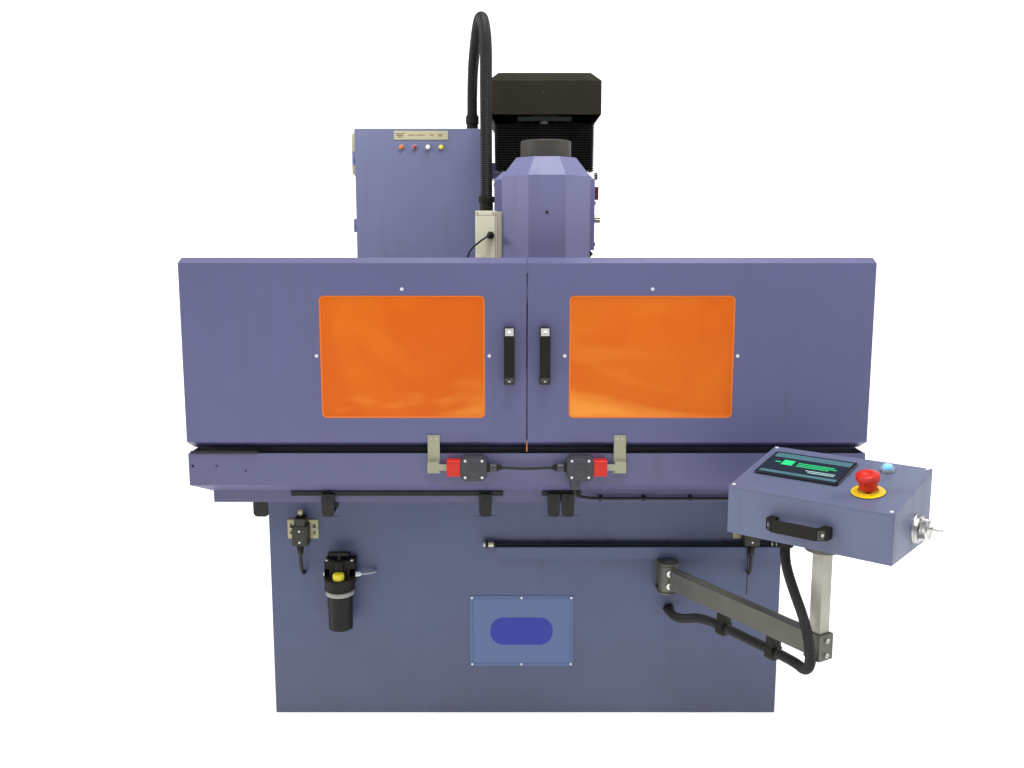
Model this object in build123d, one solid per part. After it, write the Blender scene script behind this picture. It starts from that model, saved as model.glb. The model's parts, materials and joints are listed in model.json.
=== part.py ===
"""Vertical-spindle surface grinder for cylinder heads and blocks.

Frame: origin at the centre of the base's underside, +X to the operator's right, -Y towards the operator, +Z up.
All sizes are in millimetres. One STEP file per sub-part is written to parts/.
"""
from build123d import *
import os
from math import atan2, cos, degrees, hypot, pi, radians, sin, sqrt, tan

# ---------------------------------------------------------------- driving dimensions
# Base cabinet
base_width = 1380.0
base_depth = 800.0
base_height = 605.0
base_wall = 10.0
base_top = 20.0
base_flange = 70.0
base_flange_thick = 15.0
anchor_hole_r = 9.0
anchor_inset = 45.0
slide_gap = 0.1            # oil film between sliding faces
fit_gap = 0.05             # radial clearance of a shaft in its bore
touch_gap = 0.5            # clearance between neighbours on different bodies

# Table, its guideways and its tray
way_length = base_width - 80.0
way_width = 60.0
way_height = 25.0
vee_height = 12.0
way_spread = 240.0         # between the flat way and the vee way
table_y = -208.0           # centreline of the work table and of the spindle
saddle_length = 1200.0
saddle_width = 360.0
saddle_thick = 45.0
work_length = 1100.0
work_width = 250.0
work_thick = 94.0
t_slot_width = 14.0
t_slot_head = 24.0
t_slot_neck = 12.0
t_slot_depth = 22.0
t_slot_pitch = 75.0
t_slot_count = 3
tray_length = 1696.0
tray_front_y = -540.0
tray_rear_y = 20.0
tray_rim_z = base_height + 160.0
tray_wall_height = 82.0
rear_guard_z = tray_rim_z + 140.0
spare_holes = ((-838.0, -32.0), (-778.0, -32.0), (-706.0, -44.5))   # x, and z from the rim
tray_hopper_in = 45.0
tray_hopper_drop = 26.0
sheet = 3.0
skirt_height = 30.0
skirt_return = 60.0

# Sliding doors and their rail
door_length = 848.5
door_split = 3.0
door_sheet = 2.0
door_top_z = tray_rim_z + 473.0
door_bottom_z = tray_rim_z + 29.0
door_top_fold = (30.0, 13.0)
door_foot_fold = (56.0, 25.0)
window_width = 406.0
window_height = 304.0
window_inner_edge = 104.0  # from the machine's centre to the window
window_z = door_bottom_z + 213.0
window_radius = 12.0
pane_thick = 3.0
pane_lap = 14.0
handle_length = 140.0
handle_width = 26.0
handle_proud = 40.0
handle_bar = 12.0
handle_x = 43.5            # from the machine's centre
handle_z = door_bottom_z + 218.0
rail_thick = 6.0
rail_height = 35.0
rail_top_z = door_top_z - 24.0
rail_y = -475.0
roller_r = 15.0
roller_width = 8.0

# Safety interlocks and trip dogs on the tray
switch_x = 132.0
switch_z = tray_rim_z - 32.0
switch_width = 66.0
switch_height = 62.0
switch_deep = 34.0
switch_head_width = 34.0
switch_head_height = 40.0
key_bracket_x = 232.5
key_bracket_width = 30.0
key_bracket_thick = 4.0
key_bracket_top = door_bottom_z + 18.0
lead_r = 4.0
dog_width = 32.0
dog_thick = 10.0
dog_height = 60.0
dog_bottom_z = base_height - 13.0
dog_top_z = dog_bottom_z + dog_height
dog_places = (-508.0, -105.0, 70.0, 106.0)
dog_rail_height = 12.0
dog_rail_thick = 6.0
dog_rail_spans = ((-603.0, -60.0), (40.0, 140.0))
trip_gap = 2.0

# Column, head and spindle
column_x = 60.0
column_width = 250.0
column_front_y = 110.0
column_depth = 250.0
column_height = 1040.0
column_wall = 16.0
rail_width = 30.0
column_rail_thick = 20.0
rail_spacing = column_width - 80.0
carriage_width = column_width + 50.0
carriage_height = 234.0
carriage_bottom_z = base_height + 659.0
carriage_top_z = carriage_bottom_z + carriage_height
carriage_front_y = 18.0
carriage_bevel = 26.0
neck_width = 150.0
head_x = 55.0
housing_flats = 238.0
housing_bottom_z = carriage_bottom_z - 68.0
housing_shoulder_z = housing_bottom_z + 267.0
housing_top_z = housing_shoulder_z + 51.0
housing_top_flats = 160.0
housing_bore_r = 96.0
cap_r = 69.0
cap_height = 46.0
shaft_r = 25.0
bearing_r = 45.0
bearing_height = 22.0
stator_bore_r = 56.0
rotor_r = 54.0
wheel_r = 165.0
wheel_bottom_z = housing_bottom_z - 68.0
segment_count = 8
segment_height = 40.0
segment_width = 45.0
plate_thick = 18.0
guard_r = wheel_r + 20.0
guard_bottom_z = wheel_bottom_z + 12.0
guard_wall = 3.0
knob_z = carriage_bottom_z + 93.0
sight_z = carriage_bottom_z + 172.0
knob_r = 12.0
knob_flutes = 8

# Covers on the column
cover_width = column_width + 84.0
cover_front_y = 30.0
cover_rear_y = 385.0
cover_bottom_z = base_height + column_height + 17.0
cover_top_z = cover_bottom_z + 124.0
cover_bevel = (30.0, 27.0)
cover_tuck = (17.0, 22.0)
bellows_width = column_width + 50.0
bellows_front_y = 50.0
bellows_wall = 4.0
bellows_pleat = 22.0
bellows_closed_pleat = 7.0
screw_r = 16.0
screw_y = 86.0

# Electrical cabinet
cabinet_width = 400.0
cabinet_height = 600.0
cabinet_front_y = 193.0
cabinet_depth = 210.0
cabinet_right_x = column_x - column_width / 2 - 66.0
cabinet_top_z = base_height + column_height - 5.0
cabinet_wall = 2.5
cabinet_door_depth = 18.0
cabinet_hinge_gap = 1.0
cabinet_hinge_r = 6.0
cabinet_hinge_pin_r = 3.0
cabinet_hinge_leaf = 4.0
cabinet_hinge_rises = (70.0, 280.0, 490.0)
door_label_size = (170.0, 27.0)
door_label_inset = 124.0
lamp_r = 8.0
lamp_pitch = 41.5
lamp_first_x = cabinet_right_x - cabinet_width + 147.5
lamp_z = cabinet_top_z - 57.0

# Power hose between the cabinet and the junction box
hose_r = 17.0
fitting_r = 20.5
cabinet_fitting = (cabinet_right_x - 33.0, cabinet_front_y + 70.0)
cabinet_fitting_height = 50.0
junction_width = 58.0
junction_depth = 110.0
junction_height = 150.0
junction_top_z = carriage_bottom_z + 108.0
junction_gap = 14.0
junction_fitting_height = 38.0
junction_fitting_r = 17.5
probe_lead_r = 2.5
probe_place = (-92.0, -262.0)

# Things on the front of the base
trip_switch_x = base_width / 2 - 92.0
trip_body = (40.0, 44.0, 74.0)
trip_body_top_z = base_height - 38.0
trip_plate = (82.0, 4.0, 52.0)
plunger_r = 5.0
plunger_roller_r = 8.0
switch_gland = (7.0, 24.0)     # radius, height
switch_lead_r = 4.5
switch_lead_drop = 62.0
lubricant_tube_r = 3.0
lubricator_x = 195.0 - base_width / 2
lubricator_top_z = base_height - 152.0
reservoir_r = 33.5
reservoir_height = 108.0
pump_flange_r = 39.5
ledge_left_x = -78.0
ledge_z = (base_height - 153.0, base_height - 121.0)
ledge_proud = 28.0
ledge_pipe_r = 4.0
name_plate_centre = (-11.0, base_height - 367.0)
name_plate_size = (280.0, 200.0)
plate_sheet = 1.5
bumper_size = (42.0, 60.0, 67.0)
bumper_top_z = base_height + 20.0

# Table drive
gear_module = 3.0
pinion_teeth = 30
rack_teeth = 117
gear_width = 26.0
gear_backlash = 0.7
rack_back = 30.0

# Pendant arm and control box
pivot = (377.0, -base_depth / 2 - 50.0)
arm_height = 50.0
arm_width = 30.0
arm_angle = -58.7
arm_reach = 503.0
post_side = 30.0
barrel_r = 25.0
barrel_height = 72.0
pin_r = 9.0
lug_r = 27.0
lug_thick = 5.0
pivot_plate = (54.0, 8.0)      # its width and thickness
arm_z = ledge_z[0] - barrel_height / 2 - lug_thick - 2 * touch_gap
socket_side = 44.0
box_flange_r = 38.0
box_gland_r = 18.0
box_gland_height = 20.0
box_width = 366.0
box_deep = 240.0
box_front = 108.0
box_rear = 158.0
box_bottom_z = arm_z + 229.0
box_yaw = -39.8
box_left = 204.6           # from the post axis to the box's left side
box_ahead = 48.0           # from the post axis to the box's front
box_wall = 2.5
panel_thick = 4.0
screen_size = (195.0, 125.0)
screen_inset = (22.0, box_deep - 158.0)
screen_thick = 6.0
estop_r = 25.0
estop_base_r = 17.0
estop_height = 38.0
estop_place = (284.0, box_deep / 3)
estop_travel = 5.0
estop_ring_r = 35.0
push_ring_r = 15.0
ring_thick = 2.0
stem_r = 8.0
push_r = 12.0
push_height = 14.0
push_place = (284.0, box_deep - 41.0)
push_travel = 3.0
dial_r = 30.0
dial_knob_r = 23.0
dial_place = (140.0, 47.0)
conduit_r = 12.0
clip_places = (200.0, 385.0)
clip_width = 22.0
conduit_drop = 64.0        # arm centreline to conduit centreline
conduit_entry = (120.0, 45.0)

# ---------------------------------------------------------------- derived places
base_front_y = -base_depth / 2
way_top_z = base_height + way_height
saddle_bottom_z = way_top_z + vee_height + 3.0
saddle_top_z = saddle_bottom_z + saddle_thick
tray_wall_bottom_z = tray_rim_z - tray_wall_height
tray_floor_z = tray_wall_bottom_z - tray_hopper_drop
tray_platform_z = saddle_top_z + touch_gap + sheet
work_top_z = tray_platform_z + work_thick
skirt_y = tray_front_y + tray_hopper_in
skirt_bottom_z = tray_floor_z - skirt_height
flat_way_y = table_y - way_spread / 2
vee_way_y = table_y + way_spread / 2
carriage_rear_y = column_front_y - column_rail_thick - slide_gap
housing_rear_y = table_y + housing_flats / 2
door_front_y = tray_front_y
cabinet_bottom_z = cabinet_top_z - cabinet_height
case_front_y = cabinet_front_y + cabinet_door_depth + cabinet_hinge_gap
junction_right_x = head_x - housing_flats / 2 - junction_gap
junction_x = junction_right_x - junction_width / 2
pitch_r = gear_module * pinion_teeth / 2
rack_pitch_z = saddle_bottom_z - rack_back - gear_module * 1.25
pinion_z = rack_pitch_z - pitch_r
arm_dir = (cos(radians(arm_angle)), sin(radians(arm_angle)))
post_x = pivot[0] + arm_reach * arm_dir[0]
post_y = pivot[1] + arm_reach * arm_dir[1]
conduit_z = arm_z - conduit_drop
panel_tilt = degrees(atan2(box_rear - box_front, box_deep))


# ---------------------------------------------------------------- shape helpers
def block(x, y, z):
    """A box from its (low, high) pairs along X, Y and Z."""
    size = (x[1] - x[0], y[1] - y[0], z[1] - z[0])
    return Pos(sum(x) / 2, sum(y) / 2, sum(z) / 2) * Box(*size)


def upright(x, y, z, r):
    """A vertical cylinder between the two heights in z."""
    return Pos(x, y, sum(z) / 2) * Cylinder(r, z[1] - z[0])


def along_y(x, y, z, r):
    """A cylinder along Y between the two places in y."""
    return Pos(x, sum(y) / 2, z) * Rot(90, 0, 0) * Cylinder(r, y[1] - y[0])


def along_x(x, y, z, r):
    """A cylinder along X between the two places in x."""
    return Pos(sum(x) / 2, y, z) * Rot(0, 90, 0) * Cylinder(r, x[1] - x[0])


def prism_x(points, x):
    """A (y, z) outline drawn out along X between the two places in x."""
    face = make_face(Plane.YZ.offset(x[0]) * Polyline(*points, close=True))
    return extrude(face, amount=x[1] - x[0], dir=(1, 0, 0))


def prism_y(points, y):
    """An (x, z) outline drawn out along Y between the two places in y."""
    face = make_face(Plane.XZ.offset(-y[0]) * Polyline(*points, close=True))
    return extrude(face, amount=y[1] - y[0], dir=(0, 1, 0))


def folded_sheet(points, thick):
    """The closed outline of a folded sheet: the open polyline, then its mitred offset to the left."""
    sides = []
    for (a, b), (c, d) in zip(points, points[1:]):
        run = hypot(c - a, d - b)
        sides.append((-(d - b) / run, (c - a) / run))
    inner = []
    for i, (a, b) in enumerate(points):
        before = sides[max(i - 1, 0)]
        after = sides[min(i, len(sides) - 1)]
        share = thick / (1 + before[0] * after[0] + before[1] * after[1])
        inner.append((a + (before[0] + after[0]) * share, b + (before[1] + after[1]) * share))
    return list(points) + inner[::-1]


def hopper(length, y, z, inset, drop):
    """A rectangular pan's outer solid with its lower edges sloped in on all four sides."""
    depth = y[1] - y[0]
    centre_y = sum(y) / 2
    upper = block((-length / 2, length / 2), y, z)
    rim = Pos(0, centre_y, z[0]) * Rectangle(length, depth)
    floor = Pos(0, centre_y, z[0] - drop) * Rectangle(length - 2 * inset, depth - 2 * inset)
    return upper + loft([floor.face(), rim.face()])


def tube_path(points, radius_share=0.45):
    """Straight runs joined by tangent arcs, each as large as the shorter of its two runs allows."""
    corners = [Vector(*p) for p in points]
    radii = []
    for a, b, c in zip(corners, corners[1:], corners[2:]):
        turn = radians((b - a).get_angle(c - b))
        shorter = min((b - a).length, (c - b).length)
        radii.append(radius_share * shorter / tan(turn / 2))
    return FilletPolyline(*points, radius=radii), radii


def tube(points, r, name=""):
    """A round cord swept along the route's runs and arcs."""
    path, radii = tube_path(points)
    start = Plane(origin=path @ 0, z_dir=path % 0)
    solid = sweep(start * Circle(r), path=path)
    print(name, "radii", [round(x) for x in radii], "length", round(path.length),
          "volume share", round(solid.volume / (pi * r * r * path.length), 4))
    return solid


def bridge_handle(length, width, proud, bar):
    """A bridge handle lying along Z: its feet are on the XZ plane and it stands out towards -Y."""
    outer = [(0, -length / 2), (-proud * 0.55, -length / 2), (-proud, -length / 2 + proud * 0.5),
             (-proud, length / 2 - proud * 0.5), (-proud * 0.55, length / 2), (0, length / 2)]
    foot = bar * 1.7
    inner = [(0, -length / 2 + foot), (-proud * 0.5, -length / 2 + foot),
             (-proud + bar, -length / 2 + proud * 0.5 + bar * 0.7),
             (-proud + bar, length / 2 - proud * 0.5 - bar * 0.7),
             (-proud * 0.5, length / 2 - foot), (0, length / 2 - foot)]
    half = width / 2
    return prism_x(outer, (-half, half)) - prism_x(inner, (-half - 1, half + 1))


# ---------------------------------------------------------------- base and what is fixed to it
def base_cabinet():
    half = base_width / 2
    shell = block((-half, half), (base_front_y, -base_front_y), (0, base_height))
    inside = block((-half + base_wall, half - base_wall),
                   (base_front_y + base_wall, -base_front_y - base_wall),
                   (base_flange_thick, base_height - base_top))
    mouth = block((-half + base_flange, half - base_flange),
                  (base_front_y + base_flange, -base_front_y - base_flange), (-1, base_height / 2))
    drive_slot = block((-70, 70), (table_y - 40, table_y + 40), (base_height - base_top - 1, base_height + 1))
    body = shell - inside - mouth - drive_slot
    for sx in (-1, 1):
        for sy in (-1, 1):
            body -= upright(sx * (half - anchor_inset), sy * (-base_front_y - anchor_inset),
                            (-1, base_flange_thick + 1), anchor_hole_r)
    return body


def vee_outline(y, z, height, below=0.0):
    """A vee of the ways' slope, with its foot taken down by a little where it cuts a groove."""
    half = 1.2 * (height + below)
    return [(y - half, z - below), (y, z + height), (y + half, z - below)]


def guideways():
    """The flat and the vee way on the base, and the two rails on the column."""
    half = way_length / 2
    flat = block((-half, half), (flat_way_y - way_width / 2, flat_way_y + way_width / 2),
                 (base_height, way_top_z))
    vee = block((-half, half), (vee_way_y - way_width / 2, vee_way_y + way_width / 2), (base_height, way_top_z))
    vee += prism_x(vee_outline(vee_way_y, way_top_z, vee_height), (-half, half))
    rails = []
    for side in (-1, 1):
        x = column_x + side * rail_spacing / 2
        rails.append(block((x - rail_width / 2, x + rail_width / 2),
                           (column_front_y - column_rail_thick, column_front_y),
                           (base_height + 120, base_height + column_height - 20)))
    return [flat, vee, *rails]


def column():
    x = (column_x - column_width / 2, column_x + column_width / 2)
    y = (column_front_y, column_front_y + column_depth)
    z = (base_height, base_height + column_height)
    body = block(x, y, z)
    body -= block((x[0] + column_wall, x[1] - column_wall), (y[0] + column_wall, y[1] - column_wall),
                  (z[0] + column_wall, z[1] + 1))
    foot = block((x[0] - 40, x[1] + 40), (y[0], -base_front_y), (z[0], z[0] + 30))
    foot -= block((x[0] + column_wall, x[1] - column_wall), (y[0] + column_wall, y[1] - column_wall),
                  (z[0] + column_wall, z[0] + 31))
    return body + foot


def top_cover():
    half = cover_width / 2
    x = (column_x - half, column_x + half)
    y = (cover_front_y, cover_rear_y)
    bevel_in, bevel_down = cover_bevel
    tuck_in, tuck_down = cover_tuck

    def shape(grow):
        low_z = cover_bottom_z - tuck_down
        lower = Pos(column_x, sum(y) / 2, cover_bottom_z) * Rectangle(
            cover_width + 2 * grow, y[1] - y[0] + 2 * grow)
        lowest = Pos(column_x, sum(y) / 2, low_z) * Rectangle(
            cover_width - 2 * tuck_in + 2 * grow, y[1] - y[0] + 2 * grow)
        body = block((x[0] - grow, x[1] + grow), (y[0] - grow, y[1] + grow),
                     (cover_bottom_z, cover_top_z - bevel_down + grow))
        shoulder = Pos(column_x, sum(y) / 2, cover_top_z - bevel_down + grow) * Rectangle(
            cover_width + 2 * grow, y[1] - y[0] + 2 * grow)
        roof = Pos(column_x, sum(y) / 2, cover_top_z + grow) * Rectangle(
            cover_width - 2 * bevel_in + 2 * grow, y[1] - y[0] - 2 * bevel_in + 2 * grow)
        return body + loft([shoulder.face(), roof.face()]) + loft([lowest.face(), lower.face()])

    inner = shape(-sheet)
    throat = block((x[0] + tuck_in + sheet, x[1] - tuck_in - sheet), (y[0] + sheet, y[1] - sheet),
                   (cover_bottom_z - tuck_down - 1, cover_bottom_z))
    front_gap = block((x[0] - 1, x[1] + 1), (y[0] - 1, y[0] + sheet + 0.01),
                      (cover_bottom_z - tuck_down - 1, cover_bottom_z))
    return shape(0) - inner - throat - front_gap


def bellows(low, high, pitch):
    """Pleated way cover that wraps the front of the column between two heights."""
    count = max(3, round((high - low) / pitch))
    step = (high - low) / count
    half = bellows_width / 2
    pleat = 9.0
    rear = column_front_y - touch_gap

    def ring(inset, z):
        width = 2 * (half - inset)
        depth = rear - (bellows_front_y + inset)
        return Pos(column_x, rear - depth / 2, z) * Rectangle(width, depth)

    body = None
    for i in range(count):
        z = low + i * step
        slices = [ring(pleat, z).face(), ring(0, z + step / 2).face(), ring(pleat, z + step).face()]
        part = loft([slices[0], slices[1]]) + loft([slices[1], slices[2]])
        body = part if body is None else body + part
    inset = pleat + bellows_wall
    return body - block((column_x - half + inset, column_x + half - inset),
                        (bellows_front_y + inset, rear + 1), (low - 1, high + 1))


def feed_motor():
    """The geared motor under the top cover that turns the head's feed screw."""
    z = base_height + column_height
    plate = block((column_x - 80, column_x + 80), (screw_y - 42, column_front_y + 150), (z, z + 12))
    plate -= upright(column_x, screw_y, (z - 1, z + 13), screw_r + fit_gap)
    gearbox = block((column_x - 40, column_x + 40), (screw_y - 35, screw_y + 45), (z + 12, z + 92))
    gearbox -= upright(column_x, screw_y, (z + 11, z + 22), screw_r + 9)
    motor = along_y(column_x, (screw_y + 45, screw_y + 215), z + 57, 42)
    return [plate, gearbox + motor]


def feed_screw():
    """The vertical screw that lifts the head: one bar with a collar on the motor plate."""
    z = base_height + column_height
    bar = upright(column_x, screw_y, (base_height + 150, z + 12), screw_r)
    return bar + upright(column_x, screw_y, (z + 12 + slide_gap, z + 21), screw_r + 8)


def cabinet_hinges():
    """The three hinges at the cabinet's left edge: the case's halves with their pins, and the door's halves."""
    x = cabinet_right_x - cabinet_width - cabinet_hinge_r
    y = cabinet_front_y + cabinet_door_depth + cabinet_hinge_gap / 2
    leaf = (x + cabinet_hinge_r - cabinet_hinge_leaf, x + cabinet_hinge_r)
    fixed = []
    swinging = []
    for rise in cabinet_hinge_rises:
        low = cabinet_bottom_z + rise
        half = (low, low + 20)
        part = upright(x, y, half, cabinet_hinge_r) + upright(x, y, (low, low + 42), cabinet_hinge_pin_r)
        fixed.append(part + block(leaf, (y + 1, y + 14), half))
        half = (low + 20 + slide_gap, low + 41)
        part = upright(x, y, half, cabinet_hinge_r) + block(leaf, (y - 14, y - 1), half)
        swinging.append(part - upright(x, y, (low, low + 50), cabinet_hinge_pin_r + fit_gap))
    return fixed, swinging


def cabinet_case():
    """The electrical cabinet's case with its brackets, hose fitting, vent and the fixed halves of its hinges."""
    x = (cabinet_right_x - cabinet_width, cabinet_right_x)
    y = (case_front_y, cabinet_front_y + cabinet_depth)
    z = (cabinet_bottom_z, cabinet_top_z)
    w = cabinet_wall
    case = block(x, y, z) - block((x[0] + w, x[1] - w), (y[0] - 1, y[1] - w), (z[0] + w, z[1] - w))
    column_left = column_x - column_width / 2
    brackets = [block((cabinet_right_x, column_left), (y[0] + 40, y[0] + 140), (h, h + 50))
                for h in (cabinet_bottom_z + 80, cabinet_top_z - 150)]
    px, py = cabinet_fitting
    fitting = upright(px, py, (cabinet_top_z, cabinet_top_z + cabinet_fitting_height), hose_r + 1)
    fitting += upright(px, py, (cabinet_top_z + 22, cabinet_top_z + 42), fitting_r)
    return [case, *brackets, fitting, vent_grille(), *cabinet_hinges()[0]]


def cabinet_internals():
    """Mounting plate with its rails and rows of modules."""
    x = (cabinet_right_x - cabinet_width + 25, cabinet_right_x - 25)
    rear = cabinet_front_y + cabinet_depth - cabinet_wall
    z = (cabinet_bottom_z + 30, cabinet_top_z - 30)
    body = block(x, (rear - 12, rear), z)
    rows = 4
    pitch = (z[1] - z[0]) / rows
    for row in range(rows):
        low = z[0] + pitch * (row + 0.2)
        count = 5 + row % 2
        width = (x[1] - x[0] - 40) / count
        for i in range(count):
            left = x[0] + 20 + i * width
            depth = 60 + 15 * ((row + i) % 3)
            body += block((left + 2, left + width - 2), (rear - 12 - depth, rear - 11), (low, low + pitch * 0.6))
    return body


def cabinet_door():
    """The cabinet's front door with the bezels of its four lamps and its label plate."""
    x = (cabinet_right_x - cabinet_width, cabinet_right_x)
    y = (cabinet_front_y, cabinet_front_y + cabinet_door_depth)
    z = (cabinet_bottom_z, cabinet_top_z)
    w = cabinet_wall
    door = block(x, y, z) - block((x[0] + w, x[1] - w), (y[0] + w, y[1] + 1), (z[0] + w, z[1] - w))
    lamps = [along_y(lamp_first_x + i * lamp_pitch, (y[0] - 5, y[0]), lamp_z, lamp_r) for i in range(4)]
    wide, high = door_label_size
    left = x[0] + door_label_inset
    label = block((left, left + wide), (y[0] - plate_sheet, y[0]), (z[1] - high - 7, z[1] - 7))
    return [door, *lamps, label, *cabinet_hinges()[1]]


def vent_grille():
    """Filter housing on the cabinet's left side, with louvres."""
    x1 = cabinet_right_x - cabinet_width
    y = (case_front_y + 15, case_front_y + 152)
    z = (cabinet_top_z - 144, cabinet_top_z - 7)
    body = block((x1 - 15, x1), y, z)
    body = chamfer(body.edges().filter_by(Axis.Y).group_by(Axis.X)[0], 8)
    slots = 7
    pitch = (z[1] - z[0] - 24) / slots
    for i in range(slots):
        low = z[0] + 12 + pitch * (i + 0.25)
        body -= block((x1 - 16, x1 - 6), (y[0] + 14, y[1] - 14), (low, low + pitch * 0.5))
    return body


def hose_route():
    """The power hose's points, from the cabinet's fitting up and over to the junction box."""
    px, py = cabinet_fitting
    start = cabinet_top_z + cabinet_fitting_height
    end = junction_top_z + junction_fitting_height
    return [(px, py, start + touch_gap), (px, py, start + 105), (px + 14, py - 82, start + 208),
            (px + 30, py - 210, start + 250), (px + 46, py - 345, start + 222), (px + 57, py - 442, start + 130),
            (junction_x - 1, table_y - 1, start - 10), (junction_x, table_y, start - 150),
            (junction_x, table_y, end + touch_gap)]


def limit_switches():
    """The two table limit switches, each body bolted on its slotted plate."""
    solids = []
    w, d, h = trip_body
    pw, pd, ph = trip_plate
    low = trip_body_top_z - h
    for x in (-trip_switch_x, trip_switch_x):
        centre_z = low + 34
        plate = block((x - pw / 2, x + pw / 2), (base_front_y - pd, base_front_y),
                      (centre_z - ph / 2, centre_z + ph / 2))
        for side in (-1, 1):
            sx = x + side * (pw / 2 - 10)
            plate -= block((sx - 3, sx + 3), (base_front_y - pd - 1, base_front_y + 1),
                           (centre_z - 14, centre_z + 14))
        rear = base_front_y - pd
        body = block((x - w / 2, x + w / 2), (rear - d, rear), (low, low + h * 0.72))
        body += block((x - w / 2 + 6, x + w / 2 - 6), (rear - d + 3, rear - 4), (low + h * 0.72, low + h))
        body += upright(x, rear - d + 8, (low - switch_gland[1], low), switch_gland[0])
        body -= upright(x, rear - d / 2, (low + h - 30, low + h + 1), plunger_r + fit_gap)
        solids += [plate, body]
    return solids


def plunger(side):
    """A limit switch's plunger with its roller."""
    x = side * trip_switch_x
    y = base_front_y - trip_plate[1] - trip_body[1] / 2
    top = dog_bottom_z - trip_gap
    stem = upright(x, y, (trip_body_top_z - 22, top - plunger_roller_r), plunger_r)
    return stem + along_x((x - 5, x + 5), y, top - plunger_roller_r, plunger_roller_r)


def service_lines():
    """Switch leads, the lubricant tube and the pipe along the ledge with its two elbows."""
    low = trip_body_top_z - trip_body[2] - switch_gland[1]
    y = base_front_y - trip_plate[1] - trip_body[1] + 8
    entry = low - switch_lead_drop
    solids = []
    for x in (-trip_switch_x, trip_switch_x):
        route = [(x, y, low - 0.3), (x, y, low - 26), (x + 1, y + 8, entry + 12),
                 (x + 1, base_front_y - 16, entry), (x + 1, base_front_y, entry)]
        solids.append(tube(route, switch_lead_r, "switch lead"))
    x0 = lubricator_x + 40
    z0 = lubricator_top_z - 42
    y0 = base_front_y - 30
    route = [(x0 + 0.3, y0, z0), (x0 + 22, y0, z0), (x0 + 50, y0 + 14, z0), (x0 + 50, base_front_y, z0)]
    solids.append(tube(route, lubricant_tube_r, "lubricant tube"))
    z1 = ledge_z[1] + ledge_pipe_r + 0.3
    y1 = base_front_y - ledge_proud / 2
    ends = (ledge_left_x - 4, base_width / 2 - 34)
    solids.append(along_x(ends, y1, z1, ledge_pipe_r))
    for x in ((ends[0] - 32, ends[0]), (ends[1], ends[1] + 24)):
        elbow = along_x(x, y1, z1, 2 * ledge_pipe_r)
        elbow += along_y(sum(x) / 2, (y1, base_front_y), z1, 1.5 * ledge_pipe_r)
        solids.append(elbow - block((ledge_left_x, base_width / 2), (y1 - 20, base_front_y), (0, ledge_z[1])))
    return solids


def lubricator_body():
    """The hand pump's head with its mounting block, and the reservoir screwed under it."""
    y = base_front_y - 45
    flange = (lubricator_top_z - 78, lubricator_top_z - 46)
    head = upright(lubricator_x, y, flange, pump_flange_r)
    head += block((lubricator_x - 40, lubricator_x + 40), (base_front_y - 45, base_front_y),
                  (flange[1] - 14, lubricator_top_z))
    head += upright(lubricator_x, y, (flange[1], lubricator_top_z), 13)
    head += upright(lubricator_x, y - 18, (flange[1], flange[1] + 16), 13)
    head -= upright(lubricator_x, y, (flange[1] + 2, lubricator_top_z + 1), 4 + fit_gap)
    cup_top = flange[0]
    cup = upright(lubricator_x, y, (cup_top - 14, cup_top), reservoir_r + 1.5)
    taper = loft([(Pos(lubricator_x, y, cup_top - reservoir_height) * Circle(reservoir_r - 2)).face(),
                  (Pos(lubricator_x, y, cup_top - 14) * Circle(reservoir_r)).face()])
    return [head, cup + taper]


def lubricator_handle():
    """The pump's pull rod with its T handle."""
    y = base_front_y - 45
    rod = upright(lubricator_x, y, (lubricator_top_z - 40, lubricator_top_z + 19), 4)
    grip = block((lubricator_x - 29, lubricator_x + 29), (y - 7, y + 7),
                 (lubricator_top_z + 15, lubricator_top_z + 24))
    return rod + fillet(grip.edges().filter_by(Axis.Y), 4)


def base_ledge():
    """Folded ledge along the front of the base that carries the pipe."""
    y = base_front_y - ledge_proud
    outline = folded_sheet([(base_front_y, ledge_z[1]), (y, ledge_z[1]), (y, ledge_z[0])], sheet)
    return prism_x(outline, (ledge_left_x, base_width / 2))


def name_plate():
    """The plain data plate on the front of the base."""
    x, z = name_plate_centre
    w, h = name_plate_size
    return block((x - w / 2, x + w / 2), (base_front_y - plate_sheet, base_front_y), (z - h / 2, z + h / 2))


def arm_pivot_bracket():
    """The arm's wall bracket: a plate, two lugs and the pivot pin."""
    x, y = pivot
    wide, thick = pivot_plate
    low = arm_z - barrel_height / 2 - touch_gap
    high = arm_z + barrel_height / 2 + touch_gap
    wall = base_front_y - thick
    reach = 3 * lug_thick
    plate = block((x - wide / 2, x + wide / 2), (wall, base_front_y), (low - reach, high + reach))
    for z in ((low - lug_thick, low), (high, high + lug_thick)):
        plate += block((x - lug_r, x + lug_r), (y, wall), z)
        plate += upright(x, y, z, lug_r)
        plate -= upright(x, y, (z[0] - 1, z[1] + 1), pin_r)
    pin = upright(x, y, (low - lug_thick, high + lug_thick), pin_r)
    pin += upright(x, y, (high + lug_thick, high + 1.6 * lug_thick), pin_r + 5)
    return [plate, pin]


def end_bumpers():
    """Rubber stops on the ends of the base, below the saddle's feet."""
    w, d, h = bumper_size
    solids = []
    for side in (-1, 1):
        inner = side * base_width / 2
        outer = inner + side * w
        body = block((min(inner, outer), max(inner, outer)), (base_front_y + 5, base_front_y + 5 + d),
                     (bumper_top_z - h, bumper_top_z))
        low_edges = body.edges().filter_by(Axis.Y).group_by(Axis.Z)[0]
        solids.append(fillet(low_edges, 12))
    return solids


def table_gearmotor():
    """The geared motor inside the base that drives the table's pinion."""
    gearbox = block((-55, 55), (table_y + gear_width / 2 + 4, table_y + 130),
                    (pinion_z - 55, base_height - base_top))
    gearbox -= along_y(0, (table_y, table_y + 100), pinion_z, 12 + fit_gap)
    motor = upright(0, table_y + 75, (pinion_z - 260, pinion_z - 55), 52)
    return gearbox + motor


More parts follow.
